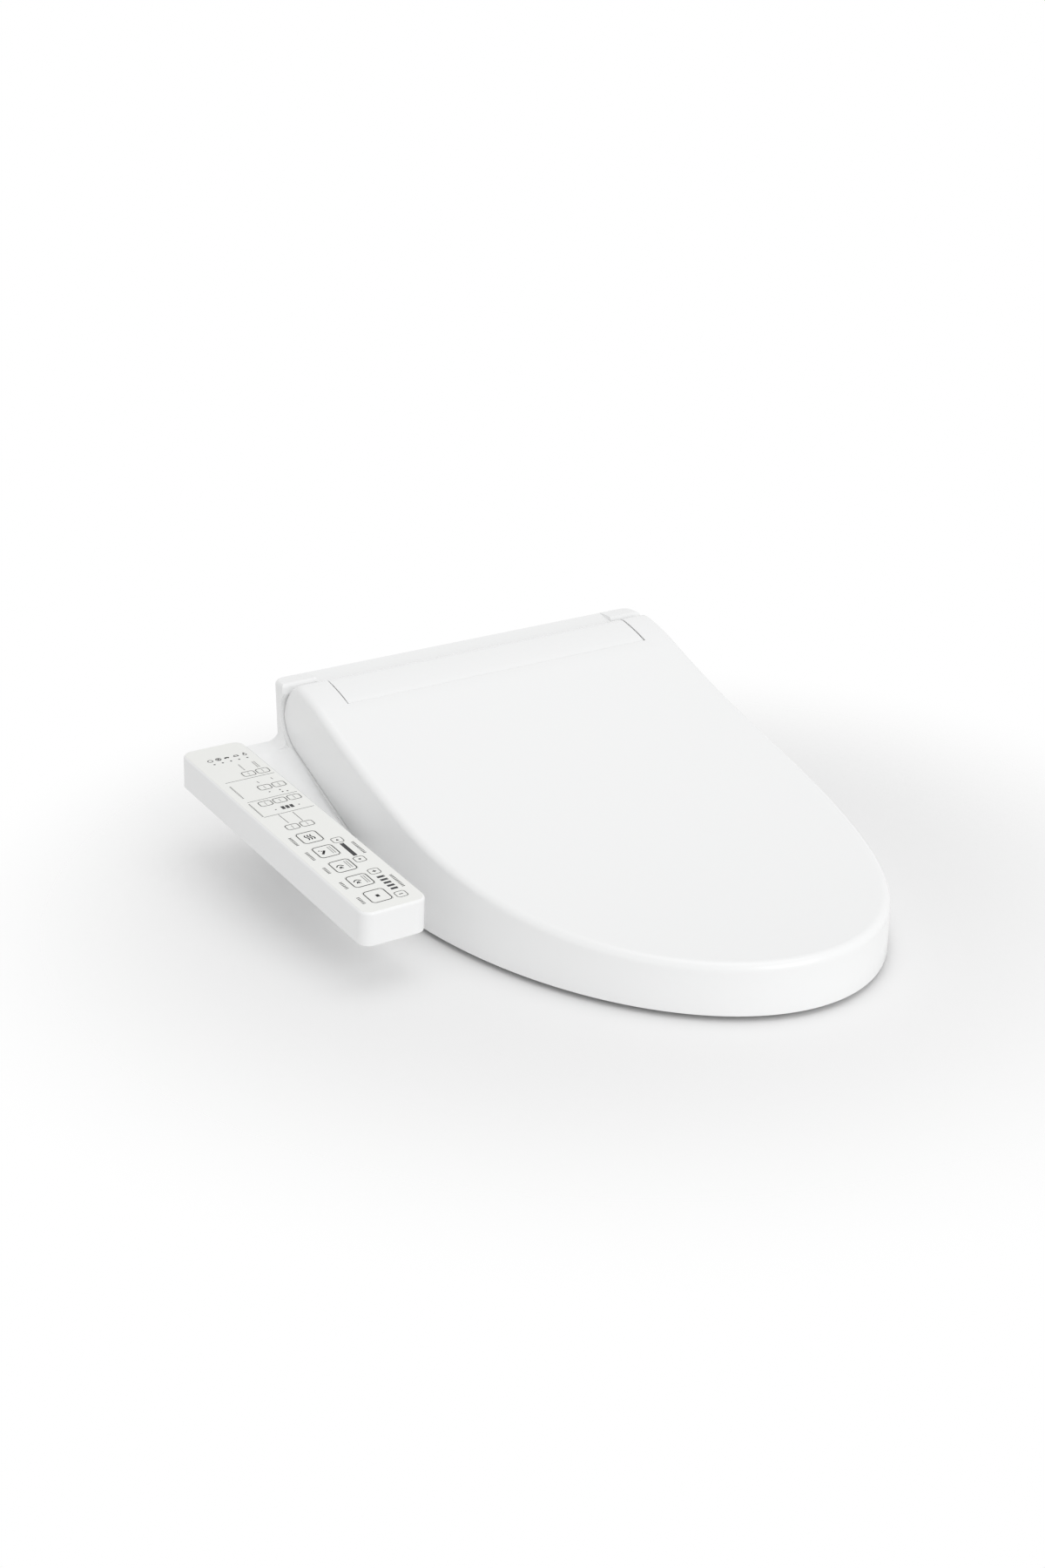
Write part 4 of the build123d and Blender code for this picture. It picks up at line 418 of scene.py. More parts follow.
    @staticmethod
    def soften(
        piece: bpy.types.Object, width: float, segments: int = 2, angle: float = 40.0
    ) -> None:
        """Add a bevel on the sharp edges.

        Args:
            piece: The object.
            width: The bevel's width, in millimetres.
            segments: How many faces round it off.
            angle: Edges sharper than this are bevelled, in degrees.
        """
        bevel = piece.modifiers.new("edge", "BEVEL")
        bevel.width = width * MM
        bevel.segments = segments
        bevel.limit_method = "ANGLE"
        bevel.angle_limit = math.radians(angle)
        bevel.miter_outer = "MITER_ARC"

    @classmethod
    def carried_copy(cls, node: str, name: str, flat: float = 0.6) -> bpy.types.Object:
        """Copy a CAD node's mesh, merged and with flat faces rejoined, ready to be worked on.

        Args:
            node: The CAD node.
            name: The copy's name.
            flat: Faces that meet within this angle are one face, in degrees.

        Returns:
            The copy, which rides on nothing yet.
        """
        cls.clear()
        source = bpy.data.objects[node]
        piece = bpy.data.objects.new(name, source.data.copy())
        bpy.context.scene.collection.objects.link(piece)
        piece.data.materials.clear()
        cls.merge(piece)
        cls.edit(piece, Pick.FACE)
        bpy.ops.mesh.dissolve_limited(angle_limit=math.radians(flat))
        cls.close()
        return piece

    @classmethod
    def copy(cls, piece: bpy.types.Object, name: str, turn: Matrix) -> bpy.types.Object:
        """Copy a piece with a mesh of its own and move the copy's points.

        Args:
            piece: What is copied.
            name: The copy's name.
            turn: The move; one that mirrors also turns the faces outwards again.

        Returns:
            The copy.
        """
        cls.clear()
        twin = bpy.data.objects.new(name, piece.data.copy())
        bpy.context.scene.collection.objects.link(twin)
        twin.data.transform(turn)
        if turn.determinant() < 0:
            twin.data.flip_normals()
        return twin

    @staticmethod
    def dress(piece: bpy.types.Object, finish: Finish, body: str, slot: str | None = None) -> None:
        """Give a piece its finish and the body it moves with.

        Args:
            piece: The finished object.
            finish: Its finish.
            body: The CAD body it rides on.
            slot: Not used.
        """
        piece.data.materials.clear()
        piece.data.materials.append(finish.material())
        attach(piece, body)
        LOG.info("%s: %d faces on %s", piece.name, len(piece.data.polygons), body)

    @classmethod
    def dress_pair(
        cls, piece: bpy.types.Object, name: str, finish: Finish, body: str, slot: str | None = None
    ) -> None:
        """Mirror a copy of a right-hand piece to the left and dress both.

        Args:
            piece: The piece on the right.
            name: The copy's name.
            finish: Their finish.
            body: The CAD body they ride on.
            slot: The record's slot, if they take their finish from one.
        """
        twin = cls.copy(piece, name, Matrix.Scale(-1, 4, (1, 0, 0)))
        for side in (piece, twin):
            cls.dress(side, finish, body, slot)


@dataclass(frozen=True)
class SweptForm:
    """Lines that the lid, the hinge cover and the casing share, from the side and from above."""

    half_width: float = 190.0
    tip_y: float = -470.0
    nose_y: float = -161.0
    seam: Point2 = (-16.0, 140.0)
    slope: float = 0.457
    tip_top: float = 46.8
    bulge: float = 0.9
    hinge: Point2 = (11.0, 119.5)
    ear_radius: float = 32.5
    ridge_y: float = 20.0
    under_angle: float = 24.4
    skirt_z: float = 3.0

    def ear(self, angle: float, radius: float | None = None) -> Point2:
        """Find a point on a circle round the hinge line.

        Args:
            angle: In degrees; 0 points to the rear.
            radius: The circle's radius; without it, the ear's.

        Returns:
            The point's y and z.
        """
        reach = self.ear_radius if radius is None else radius
        turn = math.radians(angle)
        return self.hinge[0] + reach * math.cos(turn), self.hinge[1] + reach * math.sin(turn)

    @property
    def ridge_angle(self) -> float:
        """Angle of the ridge on the ear's circle, in degrees."""
        return math.degrees(math.acos((self.ridge_y - self.hinge[0]) / self.ear_radius))

    def sweep(self, y: float) -> float:
        """Find the height of the long hollow sweep.

        Args:
            y: Where along the lid.

        Returns:
            The height.
        """
        run = self.seam[0] - y
        full = self.seam[0] - self.tip_y
        curve = (self.tip_top - self.seam[1] + self.slope * full) / full**2
        return self.seam[1] - self.slope * run + curve * run**2

    def crest(self, y: float) -> float:
        """Find the height of the convex crest between the seam and the ridge.

        Args:
            y: Where along the lid.

        Returns:
            The height.
        """
        share = (y - self.seam[0]) / (self.ridge_y - self.seam[0])
        ridge_z = self.ear(self.ridge_angle)[1]
        level = self.seam[1] + share * (ridge_z - self.seam[1])
        return level + 4 * self.bulge * share * (1 - share)

    def top(self, y: float) -> float:
        """Find the height of the lid's top anywhere along its length.

        Args:
            y: Where along the lid.

        Returns:
            The height.
        """
        if y <= self.seam[0]:
            return self.sweep(y)
        if y <= self.ridge_y:
            return self.crest(y)
        return self.hinge[1] + self.ear_drop(y)

    def ear_drop(self, y: float) -> float:
        """Half the height of the ear's circle at a place along Y."""
        return math.sqrt(max(0.0, self.ear_radius**2 - (y - self.hinge[0]) ** 2))

    def low(self, y: float) -> float:
        """Find the height of the lid's lower edge: level skirt, slanted line, round the ear.

        Args:
            y: Where along the lid.

        Returns:
            The height.
        """
        touch_y, touch_z = self.ear(self.under_angle - 90.0)
        if y >= touch_y:
            return self.hinge[1] - self.ear_drop(y)
        slanted = touch_z - (touch_y - y) * math.tan(math.radians(self.under_angle))
        return max(self.skirt_z, slanted)


FORM = SweptForm()


@dataclass
class Lid:
    """The swept lid: one smooth skin with a rounded rim, drawn round the nose and the ears."""

    form: SweptForm = FORM
    wall: float = 3.0
    edge: float = 0.7
    edge_angle: float = 50.0
    edge_segments: int = 3
    rim_radius: float = 7.0
    rim_share: float = 0.45
    ridge_reach: float = 2.0
    ridge_ease: float = 0.22
    bay_half: float = 159.2
    bay_front: float = -16.6
    lip_radius: float = 34.2
    lip_reach: float = 4.0
    lip_slack: float = 0.1
    arm_room: float = 173.7
    hub_radius: float = 12.0
    hub_bore: float = 6.05
    hub_span: Point2 = (173.7, 188.2)
    hub_depth: float = 13.5
    hub_edge: float = 0.4
    hub_step: int = 10
    ear_step: float = 8.2
    ear_steps: int = 8
    nose_steps: int = 40
    sweep_steps: int = 12
    fillet_steps: int = 7
    crest_y: tuple[float, ...] = (-10.0, -4.0, 2.0, 8.0, 14.0, 18.2, FORM.ridge_y, 21.6)
    inner_x: tuple[float, ...] = (
        -173.7, -159.2, -120.0, -80.0, -40.0, 0.0, 40.0, 80.0, 120.0, 159.2, 173.7,
    )
    rows: list[tuple[float, float, bool]] = field(default_factory=list)

    def lay_rows(self) -> None:
        """List the rows from the tip to the ear's underside as (y, nose angle, under the ear)."""
        form = self.form
        for step in range(self.nose_steps, -1, -1):
            turn = 90.0 * step / self.nose_steps
            reach = (form.nose_y - form.tip_y) * math.sin(math.radians(turn))
            self.rows.append((form.nose_y - reach, turn, False))
        run = self.bay_front - form.nose_y
        for step in range(1, self.sweep_steps + 1):
            self.rows.append((form.nose_y + run * step / self.sweep_steps, 0.0, False))
        self.rows += [(y, 0.0, False) for y in self.crest_y]
        angles = [self.ear_step * n for n in range(self.ear_steps, -1, -1)]
        self.rows += [(form.ear(angle)[0], 0.0, False) for angle in angles]
        self.rows += [(form.ear(angle)[0], 0.0, True) for angle in reversed(angles[:-1])]

    def point(self, column: int, row: int) -> Point3:
        """Where a column of a row lies.

        Args:
            column: From the left lower edge over the top to the right lower edge.
            row: From the tip to the ear's underside.

        Returns:
            The point in millimetres.
        """
        form = self.form
        y, turn, under = self.rows[row]
        inner = len(self.inner_x)
        edge = 2 + self.fillet_steps
        last = 2 * edge + inner - 1
        side = -1.0 if column <= last / 2 else 1.0
        rank = column if side < 0 else last - column
        lean = math.radians(turn)
        rim_x = form.half_width * math.cos(lean)
        depth = form.nose_y - form.tip_y
        normal = Vector((math.cos(lean) / form.half_width, math.sin(lean) / depth)).normalized()
        if under:
            x = side * rim_x if rank < edge else self.inner_x[column - edge]
            return x, y, form.low(y)
        height = form.top(y) - form.low(y)
        radius = min(self.rim_radius, self.rim_share * height)
        inset_x = rim_x - normal.x * radius
        inset_y = y + normal.y * radius
        if rank >= edge:
            share = self.inner_x[column - edge] / (form.half_width - self.rim_radius)
            x = self.inner_x[column - edge] if turn == 0.0 else share * inset_x
            return x, inset_y, self.rounded_top(inset_y)
        if rank == 0:
            return side * rim_x, y, form.low(y)
        if rank == 1:
            return side * rim_x, y, form.low(y) + 0.5 * (height - radius)
        round_turn = math.radians(90.0 * (rank - 2) / (self.fillet_steps - 1))
        depth_in = radius * (1 - math.cos(round_turn))
        place_y = y + normal.y * depth_in
        drop = radius * (1 - math.sin(round_turn))
        return side * (rim_x - normal.x * depth_in), place_y, self.rounded_top(place_y) - drop

    def rounded_top(self, y: float) -> float:
        """Height of the top with the ridge eased by a small round."""
        ease = max(0.0, 1.0 - abs(y - self.form.ridge_y) / self.ridge_reach)
        return self.form.top(y) - self.ridge_ease * ease

    def build(self) -> bpy.types.Object:
        """Draw the skin, open the hinge bay and the way of the seat's arms, give it its wall.

        Returns:
            The lid.
        """
        self.lay_rows()
        columns = 2 * (2 + self.fillet_steps) + len(self.inner_x) - 1
        lid = Bench.grid("lid", columns, len(self.rows) - 1, self.point)
        points = lid.data.vertices

        def within(face: bpy.types.MeshPolygon, half_x: float, front: float, high: float) -> bool:
            """Tell whether every corner of a face lies in one region of the skin.

            Args:
                face: The face.
                half_x: How far to either side the region reaches.
                front: Where it begins, in y.
                high: How high it reaches.

            Returns:
                Whether the face lies in it.
            """
            corners = [points[i].co / MM for i in face.vertices]
            return all(
                abs(p.x) < half_x + NEAR and p.y > front - NEAR and p.z < high + NEAR
                for p in corners
            )

        arm_front = self.form.ear(self.ear_steps * self.ear_step)[0]
        Bench.edit(
            lid,
            Pick.FACE,
            lambda face: within(face, self.bay_half, self.bay_front, math.inf)
            or within(face, self.arm_room, arm_front, self.form.hinge[1]),
        )
        bpy.ops.mesh.delete(type="FACE")
        Bench.close()
        wall = lid.modifiers.new("wall", "SOLIDIFY")
        wall.thickness = self.wall * MM
        wall.offset = -1.0
        wall.use_even_offset = True
        Bench.only(lid)
        bpy.ops.object.modifier_apply(modifier=wall.name)
        self.clear_cover(lid)
        Bench.soften(lid, self.edge, self.edge_segments, self.edge_angle)
        Bench.finish(lid)
        Bench.dress(lid, CASE_WHITE, "lid", "case_white")
        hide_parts("lid_shell")
        self.build_hubs()
        return lid

    def clear_cover(self, lid: bpy.types.Object) -> None:
        """Draw the lip of the hinge bay back, so that it turns clear of the round cover.

        Args:
            lid: The lid with its wall.
        """
        hinge_y, hinge_z = self.form.hinge
        for vertex in lid.data.vertices:
            x, y, z = vertex.co / MM
            beside = abs(x) < self.bay_half + self.lip_slack
            if beside and abs(y - self.bay_front) < self.lip_reach:
                reach = math.sqrt(max(0.0, self.lip_radius**2 - (z - hinge_z) ** 2))
                vertex.co.y = min(y, hinge_y - reach) * MM

    def build_hubs(self) -> None:
        """Model the hinge hub inside the right ear and mirror a copy into the left one."""
        low, high = self.hub_span
        turns = range(0, 360, self.hub_step)
        ring = [self.form.ear(angle, self.hub_radius) for angle in turns]
        hub = Bench.prism("lid_hub_right", ring, low, high)
        Bench.edit(hub, Pick.FACE, lambda face: abs(face.center.x - low * MM) < NEAR * MM)
        bpy.ops.mesh.inset(thickness=(self.hub_radius - self.hub_bore) * MM)
        Bench.push((self.hub_depth, 0.0, 0.0))
        Bench.close()
        Bench.soften(hub, self.hub_edge)
        Bench.finish(hub)
        Bench.dress_pair(hub, "lid_hub_left", CASE_WHITE, "lid", "case_white")


@dataclass(frozen=True)
class CarriedForm:
    """A form that keeps the CAD outline and gets softened edges and smooth shading."""

    node: str
    body: str
    slot: str
    edge: float = 0.5
    segments: int = 2

    def build(self) -> bpy.types.Object:
        """Copy the CAD form, soften its edges and dress it.

        Returns:
            The dressed copy.
        """
        piece = Bench.carried_copy(self.node, f"{self.node}_form")
        Bench.soften(piece, self.edge, self.segments)
        Bench.finish(piece)
        Bench.even(piece)
        Bench.dress(piece, SLOT_FINISH[self.slot], self.body, self.slot)
        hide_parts(self.node)
        return piece


@dataclass
class Casing:
    """Main unit: casing, hinge cover and the fittings seen on their outside."""

    forms: tuple[CarriedForm, ...] = (
        CarriedForm("upper_case", "main_unit", "case_white", 0.9, 3),
        CarriedForm("lower_case", "main_unit", "case_white", 0.6),
        CarriedForm("hinge_cover", "main_unit", "case_white", 0.6, 3),
        CarriedForm("release_button", "release", "case_white", 0.3),
        CarriedForm("filter_plug", "main_unit", "case_white", 0.3),
        CarriedForm("water_inlet", "main_unit", "inlet_metal", 0.3),
        CarriedForm("cord_gland", "main_unit", "pad_rubber", 0.3),
        CarriedForm("deodoriser_cartridge", "main_unit", "inner_plastic", 0.3),
        CarriedForm("base_plate", "base", "inner_plastic", 0.4),
    )

    # Dark strips laid in the hinge's end gaps: painted shade where the gaps fall dark.
    gap_shade_edge: float = 0.2
    gap_shade_span: Point2 = (158.0, 158.8)
    gap_shade_outline: tuple[Point2, ...] = (
        (37.4, 127.0), (37.4, 137.9), (36.2, 139.5), (34.4, 141.3), (26.5, 147.1), (24.2, 148.1),
        (18.5, 148.8), (10.0, 147.5), (-8.8, 141.6), (-16.2, 137.1), (-20.5, 127.0),
    )
    cheek: Point2 = (-60.0, 50.51)
    strip_span: Point2 = (155.05, 192.4)
    strip_ends: Point2 = (-66.0, -87.0)
    strip_flange: Point2 = (0.5, 3.2)
    strip_rise: float = 0.22
    strip_depth: float = 1.0
    strip_edge: float = 0.15

    def build(self) -> None:
        """Build the main unit's forms, the dark strips of painted shade in the hinge's end gaps and
        the cheek strips.
        """
        for form in self.forms:
            form.build()
        self.build_gap_shades()
        self.build_strips()

    def build_gap_shades(self) -> None:
        """Model a dark strip of painted shade in the hinge's right end gap, where the gap falls
        dark, and mirror a copy into the left one.
        """
        seal = Bench.prism("cover_gap_shade_right", list(self.gap_shade_outline), *self.gap_shade_span)
        Bench.soften(seal, self.gap_shade_edge)
        Bench.finish(seal)
        Bench.dress_pair(seal, "cover_gap_shade_left", GAP_SHADE_FINISH, "main_unit")

    def build_strips(self) -> None:
        """Model the strip that closes the slots across the right cheek, and one for the left."""
        slope = math.tan(math.radians(FORM.under_angle))
        rear, front = ((y, self.cheek[1] + slope * (y - self.cheek[0])) for y in self.strip_ends)
        ring = [
            (rear[0], rear[1] - self.strip_depth),
            (rear[0], rear[1] + self.strip_rise),
            (front[0], front[1] + self.strip_rise),
            (front[0], front[1] - self.strip_depth),
        ]
        strip = Bench.prism("cheek_strip_right", ring, *self.strip_span)
        thick, tall = self.strip_flange
        flange_x = (self.strip_span[0] + thick) * MM
        Bench.edit(strip, Pick.FACE)
        bpy.ops.mesh.bisect(plane_co=(flange_x, 0, 0), plane_no=(1, 0, 0))
        Bench.close()
        Bench.edit(
            strip, Pick.FACE, lambda face: face.normal.z > 0.5 and face.center.x < flange_x
        )
        Bench.push((0.0, 0.0, tall))
        Bench.close()
        Bench.soften(strip, self.strip_edge)
        Bench.finish(strip)
        Bench.dress_pair(strip, "cheek_strip_left", CASE_WHITE, "main_unit", "case_white")


@dataclass
class SeatRing:
    """Seat ring: heated top, closing base and pads, and the wand below it."""

    forms: tuple[CarriedForm, ...] = (
        CarriedForm("seat_top", "seat", "seat_white", 0.8, 3),
        CarriedForm("seat_base", "seat", "seat_white", 0.4),
        CarriedForm("seat_bumpers", "seat", "pad_rubber", 0.5),
        CarriedForm("lid_bumpers", "lid", "pad_rubber", 0.5),
        CarriedForm("nozzle_wand", "nozzle", "wand_white", 0.15),
        CarriedForm("nozzle_tip", "nozzle", "wand_white", 0.15),
    )

    def build(self) -> None:
        """Build every form of the seat and of the wand below it."""
        for form in self.forms:
            form.build()


@dataclass(frozen=True)
class PanelPlane:
    """The tilted top of the control panel and its own coordinates."""

    origin: Point3 = (-255.0, 48.0, 95.0)
    tilt: float = 5.0

    def matrix(self, lift: float) -> Matrix:
        """Matrix from panel coordinates (metres) to the part's frame.

        Args:
            lift: How far above the panel the origin lies, in millimetres.

        Returns:
            The matrix.
        """
        turn = Matrix.Rotation(math.radians(self.tilt), 4, "X")
        foot = Matrix.Translation(Vector(self.origin) * MM)
        return foot @ turn @ Matrix.Translation((0, 0, lift * MM))


@dataclass
class PanelPrint:
    """Printed marks of one ink on one body, collected flat and then laid on the panel."""

    name: str
    ink: Ink
    body: str
    lift: float
    plane: PanelPlane = PanelPlane()
    thickness: float = 0.05
    corner_steps: int = 5
    ring_corners: int = 28
    tick_share: float = 0.46
    marks: list[bpy.types.Object] = field(default_factory=list)

    def keep(self) -> None:
        """Add the object that was just made to the marks."""
        self.marks.append(bpy.context.object)

    def bar(self, u: float, v: float, width: float, length: float, turn: float = 0.0) -> None:
        """Print a bar.

        Args:
            u: Centre across the panel.
            v: Centre along the panel.
            width: Size across the panel.
            length: Size along the panel.
            turn: How far it is turned, in degrees.
        """
        Bench.clear()
        bpy.ops.mesh.primitive_plane_add(size=1.0)
        spin = Matrix.Rotation(math.radians(turn), 4, "Z")
        for vertex in bpy.context.object.data.vertices:
            flat = spin @ Vector((vertex.co.x * width, vertex.co.y * length, 0.0))
            vertex.co = (flat + Vector((u, v, 0.0))) * MM
        self.keep()

    def outline(self, u: float, v: float, size: Point2, corner: float, line: float) -> None:
        """Print the outline of a rounded rectangle.

        Args:
            u: Centre across the panel.
            v: Centre along the panel.
            size: Outer width and length.
            corner: Corner radius.
            line: Line width.
        """
        self.bar(u, v, *size)
        shape = bpy.context.object
        Bench.edit(shape, Pick.VERT)
        bpy.ops.mesh.bevel(offset=corner * MM, segments=self.corner_steps, affect="VERTICES")
        bpy.ops.mesh.select_all(action="SELECT")
        bpy.context.tool_settings.mesh_select_mode = (False, False, True)
        bpy.ops.mesh.inset(thickness=line * MM)
        bpy.ops.mesh.delete(type="FACE")
        Bench.close()

    def dot(
        self, u: float, v: float, radius: float, corners: int = 20, turn: float = 0.0
    ) -> None:
        """Print a filled dot, or with three corners an arrow head.

        Args:
            u: Centre across the panel.
            v: Centre along the panel.
            radius: Radius of its corners.
            corners: How many corners it has.
            turn: How far it is turned, in degrees.
        """
        Bench.clear()
        bpy.ops.mesh.primitive_circle_add(vertices=corners, radius=1.0, fill_type="NGON")
        spin = Matrix.Rotation(math.radians(turn), 4, "Z")
        for vertex in bpy.context.object.data.vertices:
            vertex.co = ((spin @ vertex.co) * radius + Vector((u, v, 0.0))) * MM
        self.keep()

    def ring(self, u: float, v: float, radius: float, line: float) -> None:
        """Print a round outline.

        Args:
            u: Centre across the panel.
            v: Centre along the panel.
            radius: Outer radius.
            line: Line width.
        """
        self.dot(u, v, radius, self.ring_corners)
        Bench.edit(bpy.context.object, Pick.FACE)
        bpy.ops.mesh.inset(thickness=line * MM)
        bpy.ops.mesh.delete(type="FACE")
        Bench.close()

    def stroke(self, points: Sequence[Point2], width: float) -> None:
        """Print a line of even width through points.

        Args:
            points: Where the line goes, in panel millimetres.
            width: The line's width.
        """
        path = [Vector(point) for point in points]

        def edge(column: int, row: int) -> Point3:
            """Place a point of the line's edges.

            Args:
                column: Which point of the path.
                row: 0 for the right edge, 1 for the left.

            Returns:
                The point.
            """
            ahead = path[min(column + 1, len(path) - 1)] - path[max(column - 1, 0)]
            square = Vector((-ahead.y, ahead.x)).normalized() * (width / 2)
            place = path[column] + (square if row else -square)
            return place.x, place.y, 0.0

        Bench.grid("stroke", len(path) - 1, 1, edge)
        self.keep()

    def word(self, u: float, start: float, end: float, ticks: int, height: float) -> None:
        """Print a run of plain ticks where a word stands.

        Args:
            u: Centre across the panel.
            start: Where the run starts along the panel.
            end: Where it ends.
            ticks: How many ticks it has.
            height: Length of a tick across the panel.
        """
        pitch = (end - start) / ticks
        self.bar(u, start + 0.5 * pitch, height, abs(pitch) * self.tick_share)
        tick = self.marks[-1]
        for n in range(1, ticks):
            step = Matrix.Translation((0, n * pitch * MM, 0))
            self.marks.append(Bench.copy(tick, "tick", step))

    def lay(self) -> bpy.types.Object:
        """Join the marks, give them the ink's thickness and lay them on the panel.

        Returns:
            The printed piece.
        """
        Bench.clear()
        for mark in self.marks:
            mark.select_set(True)
        piece = self.marks[0]
        bpy.context.view_layer.objects.active = piece
        bpy.ops.object.join()
        piece.name = self.name
        Bench.edit(piece, Pick.FACE)
        Bench.push((0.0, 0.0, self.thickness))
        bpy.ops.mesh.select_all(action="SELECT")
        bpy.ops.mesh.normals_make_consistent(inside=False)
        Bench.close()
        piece.data.transform(self.plane.matrix(self.lift))
        Bench.dress(piece, INKS[self.ink], self.body)
        return piece


@dataclass(frozen=True)
class KeyKind:
    """Size and outline that the keys of one kind share."""

    size: Point2
    corner: float
    line: float
    ink: Ink


@dataclass(frozen=True)
class KeySpot:
    """Where a key lies on the panel, its kind and what is printed on it."""

    node: str
    u: float
    v: float
    kind: KeyKind
    sign: Sign

    def about(self, points: Sequence[Point2]) -> list[Point2]:
        """Shift points given from the key's centre to their place on the panel."""
        return [(self.u + u, self.v + v) for u, v in points]


@dataclass(frozen=True)
class KeySigns:
    """Generic pictograms of the keys, in millimetres from the key's centre."""

    wave_pitch: float = 2.5
    wave_swing: float = 0.9
    wave_turn: float = 6.2
    wave_length: float = 8.4
    wave_steps: int = 12
    wave_line: float = 1.15
    jet: tuple[Point2, ...] = ((-4.6, -3.6), (-2.6, -1.0), (-0.8, 1.8))
    jet_line: float = 2.0
    drops: tuple[Point2, ...] = ((-5.0, 2.8), (-3.3, 1.7), (-1.6, 0.6))
    drop_radius: float = 0.65
    arch_centre: Point2 = (-2.6, 2.0)
    arch_width: float = 6.2
    arch_fall: float = 10.0
    arch_steps: int = 10
    arch_line: float = 1.0
    ray_spread: Point2 = (0.5, 1.5)
    ray_span: Point2 = (-0.8, -3.8)
    ray_line: float = 0.8
    label_rows: Point2 = (4.0, 6.0)
    label_span: Point2 = (6.4, -5.6)
    label_ticks: int = 9
    label_height: float = 1.0
    square: Point2 = (2.9, 3.6)
    arrow: float = 1.7
    plus: Point2 = (3.4, 0.9)
    minus: Point2 = (3.4, 1.0)
    tick_span: Point2 = (2.6, -2.6)
    ticks: int = 5
    tick_height: float = 0.8

    def draw(self, sign: PanelPrint, spot: KeySpot) -> None:
        """Draw a key's sign.

        Args:
            sign: The print that takes it.
            spot: The key.
        """
        match spot.sign:
            case Sign.WAVES:
                self.draw_waves(sign, spot)
            case Sign.JET:
                self.draw_jet(sign, spot)
            case Sign.SPRAY:
                self.draw_spray(sign, spot)
            case Sign.SQUARE:
                sign.bar(spot.u, spot.v, *self.square)
            case Sign.ARROW_BACK:
                sign.dot(spot.u, spot.v, self.arrow, 3)
            case Sign.ARROW_FRONT:
                sign.dot(spot.u, spot.v, self.arrow, 3, 180.0)
            case Sign.PLUS:
                sign.bar(spot.u, spot.v, *self.plus)
                sign.bar(spot.u, spot.v, *reversed(self.plus))
            case Sign.MINUS:
                sign.bar(spot.u, spot.v, *self.minus)
            case Sign.TICKS:
                start, end = (spot.v + v for v in self.tick_span)
                sign.word(spot.u, start, end, self.ticks, self.tick_height)

    def draw_waves(self, sign: PanelPrint, spot: KeySpot) -> None:
        """Draw three waving lines of warm air.

        Args:
            sign: The print that takes them.
            spot: The key.
        """
        for row in (-1, 0, 1):
            path = []
            for n in range(self.wave_steps + 1):
                share = n / self.wave_steps - 0.5
                swing = self.wave_swing * math.sin(share * self.wave_turn)
                path.append((self.wave_pitch * row - swing, self.wave_length * share))
            sign.stroke(spot.about(path), self.wave_line)

    def draw_jet(self, sign: PanelPrint, spot: KeySpot) -> None:
        """Draw a short jet with drops and a label.

        Args:
            sign: The print that takes them.
            spot: The key.
        """
        sign.stroke(spot.about(self.jet), self.jet_line)
        for u, v in spot.about(self.drops):
            sign.dot(u, v, self.drop_radius)
        self.draw_label(sign, spot)

    def draw_spray(self, sign: PanelPrint, spot: KeySpot) -> None:
        """Draw a fan of fine spray under a curve, and a label.

        Args:
            sign: The print that takes them.
            spot: The key.
        """
        centre, top = self.arch_centre
        arch = []
        for n in range(self.arch_steps + 1):
            share = n / self.arch_steps - 0.5
            arch.append((centre + self.arch_width * share, top - self.arch_fall * share * share))
        sign.stroke(spot.about(arch), self.arch_line)
        for n in (-1, 0, 1):
            ray = [(centre + u * n, v) for u, v in zip(self.ray_spread, self.ray_span)]
            sign.stroke(spot.about(ray), self.ray_line)
        self.draw_label(sign, spot)

    def draw_label(self, sign: PanelPrint, spot: KeySpot) -> None:
        """Draw two rows of fine ticks in place of a small label.

        Args:
            sign: The print that takes them.
            spot: The key.
        """
        start, end = (spot.v + v for v in self.label_span)
        for row in self.label_rows:
            sign.word(spot.u + row, start, end, self.label_ticks, self.label_height)


@dataclass(frozen=True)
class SheetPrint:
    """Marks of one ink on the sheet, in panel millimetres.

    Attributes:
        name: The printed piece's name.
        ink: Its ink.
        bars: u, v, width, length and turn of each bar.
        words: u, start, end, number of ticks and height of each run of ticks.
        dots: u, v, radius and corners of each dot.
        rings: u, v, radius and line of each ring.
        frames: u, v, size, corner and line of each rounded outline.
        strokes: path and width of each line.
    """

    name: str
    ink: Ink
    bars: tuple[tuple, ...] = ()
    words: tuple[tuple, ...] = ()
    dots: tuple[tuple, ...] = ()
    rings: tuple[tuple, ...] = ()
    frames: tuple[tuple, ...] = ()
    strokes: tuple[tuple, ...] = ()

    def build(self, lift: float) -> bpy.types.Object:
        """Print every mark.

        Args:
            lift: How far above the panel's plane the print lies.

        Returns:
            The printed piece.
        """
        marks = PanelPrint(self.name, self.ink, "main_unit", lift)
        for draw, rows in (
            (marks.bar, self.bars),
            (marks.word, self.words),
            (marks.dot, self.dots),
            (marks.ring, self.rings),
            (marks.outline, self.frames),
            (marks.stroke, self.strokes),
        ):
            for row in rows:
                draw(*row)
        return marks.lay()


